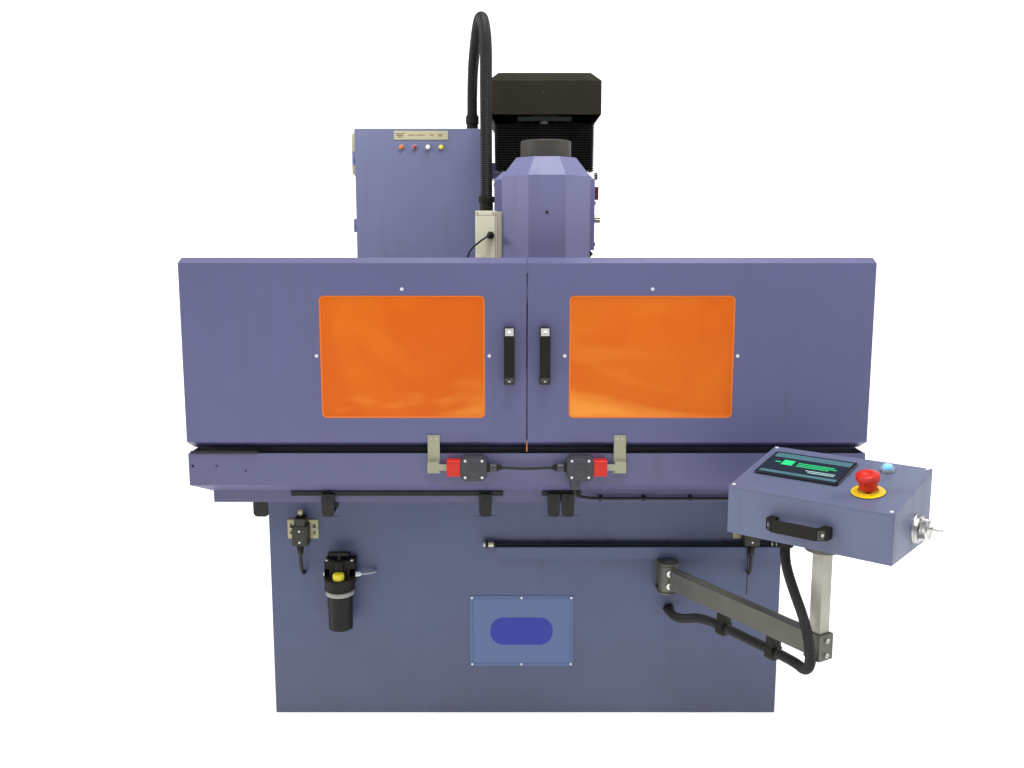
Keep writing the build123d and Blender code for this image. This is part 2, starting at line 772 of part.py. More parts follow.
# ---------------------------------------------------------------- table drive gears
def involute_flank(base_r, tip_r, root_r, half_angle_at_base, steps=5):
    """Points of one flank, from root to tip, measured as (radius, angle from the tooth's middle)."""
    points = [(root_r, half_angle_at_base)]
    for i in range(steps):
        r = max(base_r, root_r) + (tip_r - max(base_r, root_r)) * i / (steps - 1)
        roll = sqrt(max((r / base_r) ** 2 - 1, 0))
        points.append((r, half_angle_at_base - (roll - atan2(roll, 1))))
    return points


def drive_pinion():
    pressure = radians(20)
    base_r = pitch_r * cos(pressure)
    tip_r = pitch_r + gear_module
    root_r = pitch_r - 1.25 * gear_module
    involute_at_pitch = tan(pressure) - pressure
    half = (pi * gear_module / 2 - gear_backlash) / (2 * pitch_r) + involute_at_pitch
    flank = involute_flank(base_r, tip_r, root_r, half)
    points = []
    for tooth in range(pinion_teeth):
        middle = 2 * pi * tooth / pinion_teeth
        for r, a in flank:
            points.append((r * sin(middle - a), pinion_z + r * cos(middle - a)))
        for r, a in reversed(flank):
            points.append((r * sin(middle + a), pinion_z + r * cos(middle + a)))
    gear = prism_y(points, (table_y - gear_width / 2, table_y + gear_width / 2))
    shaft = along_y(0, (table_y - gear_width / 2, table_y + 90), pinion_z, 12)
    return gear + shaft


def table_rack():
    pitch = pi * gear_module
    slope = tan(radians(20))
    tip_z = rack_pitch_z - gear_module
    root_z = rack_pitch_z + 1.25 * gear_module
    half_at_pitch = (pitch / 2 - gear_backlash) / 2
    half_tip = half_at_pitch - gear_module * slope
    half_root = half_at_pitch + 1.25 * gear_module * slope
    length = rack_teeth * pitch
    left = -length / 2
    points = [(left, saddle_bottom_z), (left, root_z)]
    for i in range(rack_teeth):
        centre = (i - rack_teeth // 2) * pitch + pitch / 2
        if centre + half_root > length / 2:
            break
        points += [(centre - half_root, root_z), (centre - half_tip, tip_z),
                   (centre + half_tip, tip_z), (centre + half_root, root_z)]
    points += [(length / 2, root_z), (length / 2, saddle_bottom_z)]
    return prism_y(points, (table_y - gear_width / 2, table_y + gear_width / 2))


# ---------------------------------------------------------------- table, tray and guards
def table_saddle():
    """The sliding casting under the tray, with a foot on each way."""
    half = saddle_length / 2
    body = block((-half, half), (table_y - saddle_width / 2, table_y + saddle_width / 2),
                 (saddle_bottom_z, saddle_top_z))
    reach = way_width / 2 - 4
    foot_z = way_top_z + slide_gap
    body += block((-half, half), (flat_way_y - reach, flat_way_y + reach), (foot_z, saddle_bottom_z))
    body += block((-half, half), (vee_way_y - reach, vee_way_y + reach), (foot_z, saddle_bottom_z))
    groove = vee_outline(vee_way_y, way_top_z + 2 * slide_gap, vee_height, 2)
    return body - prism_x(groove, (-half - 1, half + 1))


def work_table():
    half = work_length / 2
    body = block((-half, half), (table_y - work_width / 2, table_y + work_width / 2),
                 (tray_platform_z, work_top_z))
    for i in range(t_slot_count):
        y = table_y + (i - (t_slot_count - 1) / 2) * t_slot_pitch
        body -= block((-half - 1, half + 1), (y - t_slot_width / 2, y + t_slot_width / 2),
                      (work_top_z - t_slot_depth, work_top_z + 1))
        body -= block((-half - 1, half + 1), (y - t_slot_head / 2, y + t_slot_head / 2),
                      (work_top_z - t_slot_depth, work_top_z - t_slot_neck))
    return body


def splash_tray():
    """The coolant pan round the table, raised over the saddle, with its front skirt."""
    y = (tray_front_y, tray_rear_y)
    z = (tray_wall_bottom_z, tray_rim_z)
    outer = hopper(tray_length, y, z, tray_hopper_in, tray_hopper_drop)
    inner = hopper(tray_length - 2 * sheet, (y[0] + sheet, y[1] - sheet),
                   (z[0] + sheet * 0.5, z[1] + 1), tray_hopper_in, tray_hopper_drop - sheet * 0.5)
    inner = inner - block((-tray_length, tray_length), (y[0] - 1, y[1] + 1), (0, tray_floor_z + sheet))
    gap = touch_gap + sheet
    half = saddle_length / 2
    side = saddle_width / 2
    platform = block((-half - gap, half + gap), (table_y - side - gap, table_y + side + gap),
                     (tray_floor_z, tray_platform_z))
    pocket = block((-half - touch_gap, half + touch_gap),
                   (table_y - side - touch_gap, table_y + side + touch_gap), (tray_floor_z - 1, saddle_top_z + touch_gap))
    skirt_half = tray_length / 2 - tray_hopper_in
    skirt = block((-skirt_half, skirt_half), (skirt_y, skirt_y + sheet), (skirt_bottom_z, tray_floor_z + sheet))
    for side_x in (-1, 1):
        edge = side_x * skirt_half
        x = (min(edge, edge - side_x * sheet), max(edge, edge - side_x * sheet))
        skirt += block(x, (skirt_y, skirt_y + skirt_return), (skirt_bottom_z, tray_floor_z + sheet))
    pan = (outer - inner) + platform - pocket + skirt
    # three spare threaded holes at the left of the front wall
    for x, below_rim in spare_holes:
        pan -= along_y(x, (y[0] - 1, y[0] + sheet + 1), tray_rim_z + below_rim, 3.4)
    return pan


def splash_guards():
    """The two end panels and the low rear panel that stand on the tray's rim."""
    rail_rear = rail_y + rail_thick / 2
    outline = [(rail_rear, tray_rim_z - 12), (rail_rear, door_top_z - 3), (rail_rear + 60, door_top_z - 40),
               (-300, tray_rim_z + 245), (-180, tray_rim_z + 175), (tray_rear_y - sheet - 6, rear_guard_z),
               (tray_rear_y - sheet - 6, tray_rim_z - 12)]
    inner = tray_length / 2 - sheet
    solids = []
    for side in (-1, 1):
        x = (side * inner, side * (inner - sheet))
        panel = prism_x(outline, (min(x), max(x)))
        flange = block((min(side * inner, side * (inner - 25)), max(side * inner, side * (inner - 25))),
                       (rail_rear, rail_rear + sheet), (tray_rim_z - 12, door_top_z - 3))
        solids.append(panel + flange)
    rear = block((-inner, inner), (tray_rear_y - sheet - 6, tray_rear_y - sheet), (tray_rim_z - 12, rear_guard_z))
    solids.append(rear)
    return solids


def door_rails():
    """The bar that the doors hang on, and the lower guide strip they run behind."""
    half = tray_length / 2 - sheet
    upper = block((-half, half), (rail_y - rail_thick / 2, rail_y + rail_thick / 2),
                  (rail_top_z - rail_height, rail_top_z))
    lower = block((-half, half), (rail_y - rail_thick / 2, rail_y + rail_thick / 2),
                  (tray_rim_z - 30, tray_rim_z + 22))
    feet_z = (tray_floor_z + sheet, tray_rim_z - 30)
    for x in (-600, -200, 200, 600):
        lower += block((x - 20, x + 20), (rail_y - rail_thick / 2, rail_y + rail_thick / 2), feet_z)
    return [upper, lower]


def trip_dogs():
    """The two bars on the skirt and the four dogs clamped along them."""
    y = (skirt_y - dog_rail_thick, skirt_y)
    solids = [block(span, y, (tray_floor_z - dog_rail_height, tray_floor_z)) for span in dog_rail_spans]
    for x in dog_places:
        front = y[0] - dog_thick
        plate = block((x - dog_width / 2, x + dog_width / 2), (front, y[0]), (dog_bottom_z, dog_top_z))
        plate = fillet(plate.edges().filter_by(Axis.Y).group_by(Axis.Z)[0], dog_width * 0.4)
        foot = block((x - dog_width * 0.3, x + dog_width * 0.3), (y[0] - 1, base_front_y - 12),
                     (dog_bottom_z, skirt_bottom_z - 4))
        solids.append(plate + foot)
    return solids


def interlock_switches():
    """The two key interlock switches, their cable glands, the lead that joins them and the one that leaves."""
    y = (tray_front_y - switch_deep, tray_front_y)
    solids = []
    for side in (-1, 1):
        x = side * switch_x
        w = switch_width / 2
        h = switch_height / 2
        body = block((x - w, x + w), y, (switch_z - h, switch_z + h))
        body = chamfer(body.edges().filter_by(Axis.Y), 10)
        gland_x = (x - side * w, x - side * (w + 24))
        body += along_x((min(gland_x), max(gland_x)), y[0] + switch_deep / 2, switch_z, 10)
        if side > 0:
            body += upright(x - 12, y[0] + switch_deep / 2, (switch_z - h - 24, switch_z - h), 12)
        solids.append(body)
    mid = y[0] + switch_deep / 2
    reach = switch_x - switch_width / 2 - 24
    route = [(-reach, mid, switch_z), (-reach + 32, mid - 0.6, switch_z - 0.6), (0, mid, switch_z - 3),
             (reach - 32, mid - 0.6, switch_z - 0.6), (reach, mid, switch_z)]
    solids.append(tube(route, lead_r, "link lead"))
    start_z = switch_z - switch_height / 2 - 24
    x = switch_x - 12
    low = tray_floor_z - dog_rail_height - lead_r - 1
    front = skirt_y - dog_rail_thick - lead_r - 1
    route = [(x, mid, start_z), (x, mid, start_z - 14), (x + 16, mid + 22, low + 12), (x + 50, front - 1, low),
             (x + 300, front, low - 0.8), (tray_length / 2 - 60, front - 0.5, low)]
    solids.append(tube(route, lead_r, "tray lead"))
    return solids


def interlock_heads():
    """The red actuator heads, each with the slot that the key enters."""
    solids = []
    for side in (-1, 1):
        inner = side * (switch_x + switch_width / 2)
        outer = inner + side * switch_head_width
        y = (tray_front_y - switch_deep + 2, tray_front_y - 2)
        z = (switch_z - switch_head_height / 2, switch_z + switch_head_height / 2)
        head = block((min(inner, outer), max(inner, outer)), y, z)
        head = fillet(head.edges().filter_by(Axis.X), 3)
        slot_inner = outer - side * 22
        mid = tray_front_y - switch_deep / 2
        head -= block((min(slot_inner, outer + side), max(slot_inner, outer + side)),
                      (mid - 2.5, mid + 2.5), (switch_z - 10, switch_z + 10))
        solids.append(head)
    return solids


# ---------------------------------------------------------------- doors
def door_panel(side):
    """One sliding door: a folded sheet with a sloped top, a sloped foot, end returns and a window opening."""
    top_in, top_up = door_top_fold
    foot_in, foot_down = door_foot_fold
    y = door_front_y
    outline = folded_sheet([(y + foot_in, door_bottom_z - foot_down), (y, door_bottom_z), (y, door_top_z),
                            (y + top_in, door_top_z + top_up)][::-1], door_sheet)
    x = (door_split / 2, door_split / 2 + door_length)
    panel = prism_x(outline, x)
    for edge in ((x[0], x[0] + door_sheet), (x[1] - door_sheet, x[1])):
        panel += block(edge, (y + door_sheet / 2, y + 25), (door_bottom_z, door_top_z))
    centre = window_inner_edge + window_width / 2
    outline = RectangleRounded(window_width, window_height, window_radius)
    opening = Pos(centre, y, window_z) * Rot(90, 0, 0) * outline
    panel -= extrude(opening, amount=20, both=True)
    return panel if side > 0 else mirror(panel, about=Plane.YZ)


def door_window(side):
    """The window pane behind the door's opening."""
    centre = side * (window_inner_edge + window_width / 2)
    y = (door_front_y + door_sheet, door_front_y + door_sheet + pane_thick)
    w = window_width / 2 + pane_lap
    h = window_height / 2 + pane_lap
    return block((centre - w, centre + w), y, (window_z - h, window_z + h))


def door_handle(side):
    handle = bridge_handle(handle_length, handle_width, handle_proud, handle_bar)
    return Pos(side * handle_x, door_front_y, handle_z) * handle


def door_fittings(side):
    """The door's two hangers with their rollers, and the interlock key on its bracket."""
    solids = []
    plate_y = rail_y - rail_thick / 2 - 6
    for x in (side * 70, side * 400):
        spacer = block((x - 20, x + 20), (door_front_y + door_sheet, plate_y), (door_top_z - 50, door_top_z - 30))
        plate = block((x - 20, x + 20), (plate_y - 4, plate_y), (door_top_z - 50, rail_top_z + roller_r + 10))
        centre_z = rail_top_z + roller_r + slide_gap
        roller = along_y(x, (rail_y - roller_width / 2, rail_y + roller_width / 2), centre_z, roller_r)
        pin = along_y(x, (plate_y - 1, rail_y + roller_width / 2 + 4), centre_z, 4)
        solids.append(spacer + plate + roller + pin)
    x = side * key_bracket_x
    y = (door_front_y - key_bracket_thick, door_front_y)
    strap_z = (switch_z - 18, key_bracket_top)
    front = (door_front_y - key_bracket_thick - touch_gap, door_front_y - touch_gap)
    strap = block((x - key_bracket_width / 2, x + key_bracket_width / 2), front, strap_z)
    strap += block((x - key_bracket_width / 2, x + key_bracket_width / 2), (y[0], y[1]),
                   (door_bottom_z + 1, key_bracket_top))
    mid = tray_front_y - switch_deep / 2
    inner = side * (switch_x + switch_width / 2 + switch_head_width - 18)
    outer = side * (key_bracket_x + key_bracket_width / 2)
    key_z = (switch_z - 8, switch_z + 8)
    key = block((min(inner, outer), max(inner, outer)), (mid - 1.5, mid + 1.5), key_z)
    key += block((min(side * (key_bracket_x - 13), outer), max(side * (key_bracket_x - 13), outer)),
                 (mid - 1.5, front[0] + 1), (switch_z - 14, switch_z + 12))
    solids.append(strap + key)
    return solids


# ---------------------------------------------------------------- head and spindle
def octagon(flats):
    return RegularPolygon(flats / 2, 8, major_radius=False, rotation=22.5)


def head_carriage():
    """The casting that slides on the column and carries the spindle housing."""
    half = carriage_width / 2
    y = (carriage_front_y, carriage_rear_y)
    z = (carriage_bottom_z, carriage_top_z)
    body = block((column_x - half, column_x + half), y, z)
    top_edges = body.edges().group_by(Axis.Z)[-1]
    body = chamfer(top_edges.sort_by(Axis.Y)[:3], carriage_bevel)
    for side in (-1, 1):
        x = column_x + side * rail_spacing / 2
        shoe = block((x - rail_width / 2 - 14, x + rail_width / 2 + 14), (y[1] - 1, column_front_y - 4),
                     (z[0] + 10, z[1] - 40))
        shoe -= block((x - rail_width / 2 - slide_gap, x + rail_width / 2 + slide_gap),
                      (y[1], column_front_y), (z[0], z[1]))
        body += shoe
    body -= upright(column_x, screw_y, (z[0] - 1, z[1] + 1), screw_r + 6)
    nut = upright(column_x, screw_y, (z[0] + 60, z[0] + 110), 32)
    nut -= block((column_x - 40, column_x + 40), (column_front_y - 4, column_front_y + 40), z)
    body += nut
    body -= upright(column_x, screw_y, (z[0] - 1, z[1] + 1), screw_r + fit_gap)
    neck = block((head_x - neck_width / 2, head_x + neck_width / 2), (housing_rear_y, y[0] + 1),
                 (z[0], z[1] - carriage_bevel - 14))
    return body + neck


def clamp_block():
    """The oil sight and clamp housings on the carriage's right side."""
    x = column_x + carriage_width / 2
    y = (carriage_front_y + 12, carriage_front_y + 42)
    lower = block((x, x + 12), y, (sight_z - 22, sight_z + 16))
    upper = along_x((x, x + 9), sum(y) / 2, sight_z + 48, 11)
    return [lower, upper]


def clamp_knob():
    """The knob that clamps the head slide on its rails."""
    x = column_x + carriage_width / 2 + touch_gap
    y = carriage_front_y + 27
    knob = along_x((x, x + 18), y, knob_z, knob_r)
    for i in range(knob_flutes):
        turn = 2 * pi * i / knob_flutes
        knob -= along_x((x + 3, x + 19), y + (knob_r + 1.5) * cos(turn), knob_z + (knob_r + 1.5) * sin(turn), 3)
    return knob


def spindle_housing():
    """The octagonal spindle housing with its sloped shoulder, bored for the motor and the bearings."""
    barrel = Pos(head_x, table_y, housing_bottom_z) * octagon(housing_flats)
    body = extrude(barrel, amount=housing_shoulder_z - housing_bottom_z, dir=(0, 0, 1))
    body += loft([(Pos(head_x, table_y, housing_shoulder_z) * octagon(housing_flats)).face(),
                  (Pos(head_x, table_y, housing_top_z) * octagon(housing_top_flats)).face()])
    body -= upright(head_x, table_y, (housing_bottom_z + 20, housing_shoulder_z - 20), housing_bore_r)
    body -= upright(head_x, table_y, (housing_bottom_z - 1, housing_top_z + 1), bearing_r)
    return body


def spindle_cap():
    z = (housing_top_z, housing_top_z + cap_height)
    cap = upright(head_x, table_y, z, cap_r)
    cap = fillet(cap.edges().group_by(Axis.Z)[-1], 5)
    return cap - upright(head_x, table_y, (z[0] - 1, z[1] - 5), cap_r - 5)


def spindle_motor():
    """The motor's stator, pressed into the housing, and the two spindle bearings."""
    z = (housing_bottom_z + 60, housing_shoulder_z - 60)
    ring = upright(head_x, table_y, z, housing_bore_r)
    return [ring - upright(head_x, table_y, (z[0] - 1, z[1] + 1), stator_bore_r), *spindle_bearings()]


def spindle_bearings():
    """Outer and inner rings of the two spindle bearings, as one ring each."""
    solids = []
    for low in (housing_bottom_z, housing_top_z - bearing_height - 4):
        z = (low, low + bearing_height)
        ring = upright(head_x, table_y, z, bearing_r) - upright(head_x, table_y, (z[0] - 1, z[1] + 1),
                                                                shaft_r + fit_gap)
        solids.append(ring)
    return solids


def spindle_shaft():
    """The spindle with its rotor and the plate that holds the segments."""
    plate_z = (wheel_bottom_z + segment_height, wheel_bottom_z + segment_height + plate_thick)
    shaft = upright(head_x, table_y, (plate_z[0], housing_top_z), shaft_r)
    shaft += upright(head_x, table_y, (housing_bottom_z + 56, housing_shoulder_z - 56), rotor_r)
    return shaft + upright(head_x, table_y, plate_z, wheel_r)


def grinding_wheel():
    """The ring of abrasive segments under the plate."""
    solids = []
    z = (wheel_bottom_z, wheel_bottom_z + segment_height)
    ring = upright(head_x, table_y, z, wheel_r) - upright(head_x, table_y, (z[0] - 1, z[1] + 1),
                                                          wheel_r - segment_width)
    span = 360 / segment_count
    for i in range(segment_count):
        wedge_half = tan(radians(span / 2 - 3)) * wheel_r * 1.2
        wedge = Pos(head_x, table_y, z[0]) * Rot(0, 0, i * span) * make_face(
            Polyline((0, 0), (wheel_r * 1.2, -wedge_half), (wheel_r * 1.2, wedge_half), close=True))
        solids.append(ring & extrude(wedge, amount=z[1] - z[0], dir=(0, 0, 1)))
    return solids


def wheel_guard():
    """The sheet hood round the wheel, bolted under the housing."""
    z = (guard_bottom_z, housing_bottom_z)
    hood = upright(head_x, table_y, (z[0], z[1]), guard_r)
    hood -= upright(head_x, table_y, (z[0] - 1, z[1] - guard_wall), guard_r - guard_wall)
    hood -= upright(head_x, table_y, (z[0], z[1] + 1), bearing_r + 4)
    return hood


def junction_box():
    """The junction box on the head's left side: its box, bracket, hose fitting and front gland."""
    x = (junction_right_x - junction_width, junction_right_x)
    y = (table_y - junction_depth / 2, table_y + junction_depth / 2)
    z = (junction_top_z - junction_height, junction_top_z)
    box = block(x, y, z)
    box = fillet(box.edges().filter_by(Axis.Z), 4)
    bracket = block((x[1], head_x - housing_flats / 2), (y[0] + 12, y[1] - 12), (z[0] + 4, z[1] - 2))
    fitting = upright(junction_x, table_y, (z[1], z[1] + junction_fitting_height), junction_fitting_r)
    gland = along_y(junction_x + 12, (y[0] - 14, y[0]), junction_top_z - 65, 9.5)
    return [box, bracket, fitting, gland]


def probe_lead():
    """The sensor lead from the junction box's front gland down to the wheel guard."""
    x = junction_x + 12
    y = table_y - junction_depth / 2 - 14
    z = junction_top_z - 65
    end_x, end_y = probe_place
    route = [(x, y - 0.3, z), (x, y - 16, z), (x - 22, y - 30, z - 12), (x - 60, y - 26, z - 44),
             (x - 62, y - 6, z - 84), (end_x - 16, end_y, z - 96), (end_x, end_y, housing_bottom_z + 10),
             (end_x, end_y, housing_bottom_z)]
    return tube(route, probe_lead_r, "probe lead")


# ---------------------------------------------------------------- pendant
def on_arm(shape):
    """Places a shape drawn along +X from the pivot axis."""
    return Pos(pivot[0], pivot[1], 0) * Rot(0, 0, arm_angle) * shape


def in_box(shape):
    """Places a shape drawn in the control box's own frame: +X along its width, its post axis at the origin."""
    return Pos(post_x, post_y, box_bottom_z) * Rot(0, 0, box_yaw) * shape


def on_panel(shape, place, lift=0.0):
    """Places a shape drawn on the sloped panel's face, at (along the width, up the slope from the front edge)."""
    u, v = place
    origin = Pos(-box_left + u, -box_ahead, box_front) * Rot(panel_tilt, 0, 0)
    return in_box(origin * Pos(0, v, lift) * shape)


def pendant_arm():
    """The arm with its hinge barrel and end socket, and the upright post."""
    z = (arm_z - arm_height / 2, arm_z + arm_height / 2)
    bar = block((barrel_r - 4, arm_reach - socket_side / 2 + 2), (-arm_width / 2, arm_width / 2), z)
    barrel = upright(0, 0, (arm_z - barrel_height / 2, arm_z + barrel_height / 2), barrel_r)
    half = socket_side / 2
    socket = block((arm_reach - half, arm_reach + half), (-half, half), (z[0] - 4, z[1] + 6))
    arm = bar + barrel + socket
    arm -= upright(0, 0, (z[0] - 20, z[1] + 20), pin_r + fit_gap)
    half = post_side / 2
    post = block((arm_reach - half, arm_reach + half), (-half, half), (z[1] + 6, box_bottom_z - 12))
    return [on_arm(arm), on_arm(post)]


def arm_conduit():
    """The stretch of conduit that is clipped under the arm, and its two clips."""
    first, last = clip_places
    cord = along_x((first, last), 0, conduit_z, conduit_r)
    solids = [on_arm(cord)]
    top = arm_z - arm_height / 2
    for t in clip_places:
        shift = clip_width / 2 if t == first else -clip_width / 2
        x = (t + shift - clip_width / 2, t + shift + clip_width / 2)
        clip = block(x, (-conduit_r - 5, conduit_r + 5), (conduit_z - conduit_r - 5, top))
        clip -= along_x((x[0] - 1, x[1] + 1), 0, conduit_z, conduit_r)
        solids.append(on_arm(clip))
    return solids


def arm_point(t, side, z):
    """A point beside the arm: t along it, side to its left."""
    c, s = arm_dir
    return (pivot[0] + t * c - side * s, pivot[1] + t * s + side * c, z)


def lower_route():
    """From the gland in the base to the arm's first clip."""
    first = clip_places[0]
    z = conduit_z
    x = pivot[0] + 12
    return [(x, base_front_y, z - 44), (x, base_front_y - 48, z - 44), (x + 18, base_front_y - 102, z - 32),
            arm_point(first - 62, 0, z), arm_point(first - touch_gap, 0, z)]


def upper_route():
    """From the arm's last clip, round under the post's foot and up beside it into the control box."""
    last = clip_places[1]
    z = conduit_z
    side, ahead = conduit_entry
    top = in_box_point((-box_left + side, -box_ahead + ahead, 0))
    return [arm_point(last + touch_gap, 0, z), arm_point(last + 55, 0, z), arm_point(last + 110, -26, z + 4),
            arm_point(last + 140, -44, z + 46), arm_point(last + 125, -50, z + 124),
            arm_point(last + 72, -42, z + 196), (top[0], top[1], box_bottom_z - 52),
            (top[0], top[1], box_bottom_z - box_gland_height - touch_gap)]


def in_box_point(place):
    """A point of the control box's own frame, in the machine's frame."""
    c, s = cos(radians(box_yaw)), sin(radians(box_yaw))
    x, y, z = place
    return (post_x + x * c - y * s, post_y + x * s + y * c, box_bottom_z + z)


def pendant_case():
    """The control box's folded case, open at the top, with its swivel flange and cable gland."""
    x = (-box_left, box_width - box_left)
    drop = panel_thick / cos(radians(panel_tilt))
    y0 = -box_ahead
    y1 = box_deep - box_ahead
    shell = prism_x([(y0, 0), (y0, box_front - drop), (y1, box_rear - drop), (y1, 0)], x)
    w = box_wall
    inside = prism_x([(y0 + w, w), (y0 + w, box_rear), (y1 - w, box_rear), (y1 - w, w)], (x[0] + w, x[1] - w))
    flange = upright(0, 0, (-12 + touch_gap, 0), box_flange_r)
    gland = upright(-box_left + conduit_entry[0], -box_ahead + conduit_entry[1], (-box_gland_height, 0),
                    box_gland_r)
    return [in_box(shell - inside), in_box(flange), in_box(gland), dial_flange()]


def pendant_panel():
    """The sloped top panel that closes the box, with the rings round its two buttons."""
    x = (-box_left, box_width - box_left)
    drop = panel_thick / cos(radians(panel_tilt))
    y0 = -box_ahead
    y1 = box_deep - box_ahead
    plate = prism_x([(y0, box_front - drop), (y0, box_front), (y1, box_rear), (y1, box_rear - drop)], x)
    plate = in_box(plate)
    plate -= on_panel(Pos(0, 0, -10) * Cylinder(stem_r + fit_gap, 30), estop_place)
    plate -= on_panel(Pos(0, 0, -10) * Cylinder(stem_r + fit_gap, 30), push_place)
    rings = []
    for place, outer, inner in ((estop_place, estop_ring_r, stem_r + fit_gap),
                                (push_place, push_ring_r, push_r + touch_gap)):
        ring = Pos(0, 0, ring_thick / 2) * (Cylinder(outer, ring_thick) - Cylinder(inner, ring_thick + 1))
        rings.append(on_panel(ring, place))
    return [plate, *rings]


def touch_screen():
    w, h = screen_size
    u, v = screen_inset
    bezel = Pos(w / 2, h / 2, screen_thick / 2) * Box(w, h, screen_thick)
    bezel = fillet(bezel.edges().filter_by(Axis.Z), 5)
    return on_panel(bezel, (u, v))


def pendant_handle():
    handle = bridge_handle(handle_length, handle_width, handle_proud, handle_bar)
    lying = Pos(-box_left + 172, -box_ahead, box_front * 0.42) * Rot(0, 90, 0) * handle
    return in_box(lying)


def estop_button():
    """The emergency stop's mushroom and its stem."""
    rise = estop_travel + 3
    knob = Pos(0, 0, rise + estop_height / 2) * Cylinder(estop_base_r + 2, estop_height)
    knob += Pos(0, 0, rise + estop_height - 8) * Cylinder(estop_r, 16)
    knob += Pos(0, 0, (rise - 14) / 2) * Cylinder(stem_r, rise + 14)
    return on_panel(knob, estop_place)


def push_button():
    """The lit push button: its cap and stem inside the bezel."""
    cap = Pos(0, 0, push_travel + push_height / 2) * Cylinder(push_r, push_height)
    cap += Pos(0, 0, (push_travel - 14) / 2) * Cylinder(stem_r, push_travel + 14)
    return on_panel(cap, push_place)


def hand_dial():
    """The electronic handwheel: its knob and crank pin."""
    v, z = dial_place
    x = box_width - box_left
    knob = along_x((x + 12 + touch_gap, x + 30), 0, 0, dial_knob_r)
    knob += along_x((x + 30, x + 52), dial_knob_r - 8, 0, 4)
    return in_box(Pos(0, -box_ahead + v, z) * knob)


def dial_flange():
    """The handwheel's fixed flange on the side of the box."""
    v, z = dial_place
    x = box_width - box_left
    return in_box(Pos(0, -box_ahead + v, z) * along_x((x, x + 12), 0, 0, dial_r))


# ---------------------------------------------------------------- the assembly
def lower_bellows_z():
    return (base_height + 60, carriage_bottom_z)


def upper_bellows_z():
    return (carriage_top_z, cover_bottom_z - cover_tuck[1] - 2)


nodes = {
    "base_cabinet": base_cabinet(),
    "guideways": guideways(),
    "column": column(),
    "top_cover": top_cover(),
    "bellows_upper": bellows(*upper_bellows_z(), bellows_closed_pleat),
    "bellows_lower": bellows(*lower_bellows_z(), bellows_pleat),
    "feed_motor": feed_motor(),
    "feed_screw": feed_screw(),
    "cabinet_case": cabinet_case(),
    "cabinet_internals": cabinet_internals(),
    "cabinet_door": cabinet_door(),
    "power_hose": tube(hose_route(), hose_r, "power hose"),
    "limit_switches": limit_switches(),
    "left_plunger": plunger(-1),
    "right_plunger": plunger(1),
    "service_lines": service_lines(),
    "lubricator_body": lubricator_body(),
    "lubricator_handle": lubricator_handle(),
    "base_trim": [base_ledge(), name_plate()],
    "arm_pivot_bracket": arm_pivot_bracket(),
    "end_bumpers": end_bumpers(),
    "table_gearmotor": table_gearmotor(),
    "drive_pinion": drive_pinion(),
    "table_rack": table_rack(),
    "table_saddle": table_saddle(),
    "work_table": work_table(),
    "splash_tray": splash_tray(),
    "splash_guards": splash_guards(),
    "door_rails": door_rails(),
    "trip_dogs": trip_dogs(),
    "interlock_switches": interlock_switches(),
    "interlock_heads": interlock_heads(),
    "head_carriage": [head_carriage(), *clamp_block()],
    "spindle_housing": [spindle_housing(), spindle_cap()],
    "spindle_motor": spindle_motor(),
    "clamp_knob": clamp_knob(),
    "spindle_shaft": spindle_shaft(),
    "grinding_wheel": grinding_wheel(),
    "wheel_guard": wheel_guard(),
    "junction_box": junction_box(),
    "probe_lead": probe_lead(),
    "pendant_arm": pendant_arm(),
    "arm_conduit": arm_conduit(),
    "conduit_lower": tube(lower_route(), conduit_r, "lower conduit"),
    "conduit_upper": tube(upper_route(), conduit_r, "upper conduit"),
    "pendant_case": pendant_case(),
    "pendant_panel": pendant_panel(),
    "touch_screen": touch_screen(),
    "pendant_handle": pendant_handle(),
    "estop_button": estop_button(),
    "push_button": push_button(),
    "hand_dial": hand_dial(),
}
for name, side in (("left", -1), ("right", 1)):
    nodes[f"{name}_door"] = door_panel(side)
    nodes[f"{name}_window"] = door_window(side)
    nodes[f"{name}_door_handle"] = door_handle(side)
    nodes[f"{name}_door_fittings"] = door_fittings(side)

os.makedirs("parts", exist_ok=True)
for name, shape in nodes.items():
    solids = shape if isinstance(shape, list) else [shape]
    whole = Compound(children=[s for item in solids for s in item.solids()])
    export_step(whole, f"parts/{name}.step")
print(len(nodes), "nodes")
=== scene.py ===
"""The surface grinder's looks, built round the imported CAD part.

Lengths are in metres. Numbers that go into mm() are in millimetres.
"""

import json
import math

import bmesh
import bpy
from mathutils import Matrix, Vector

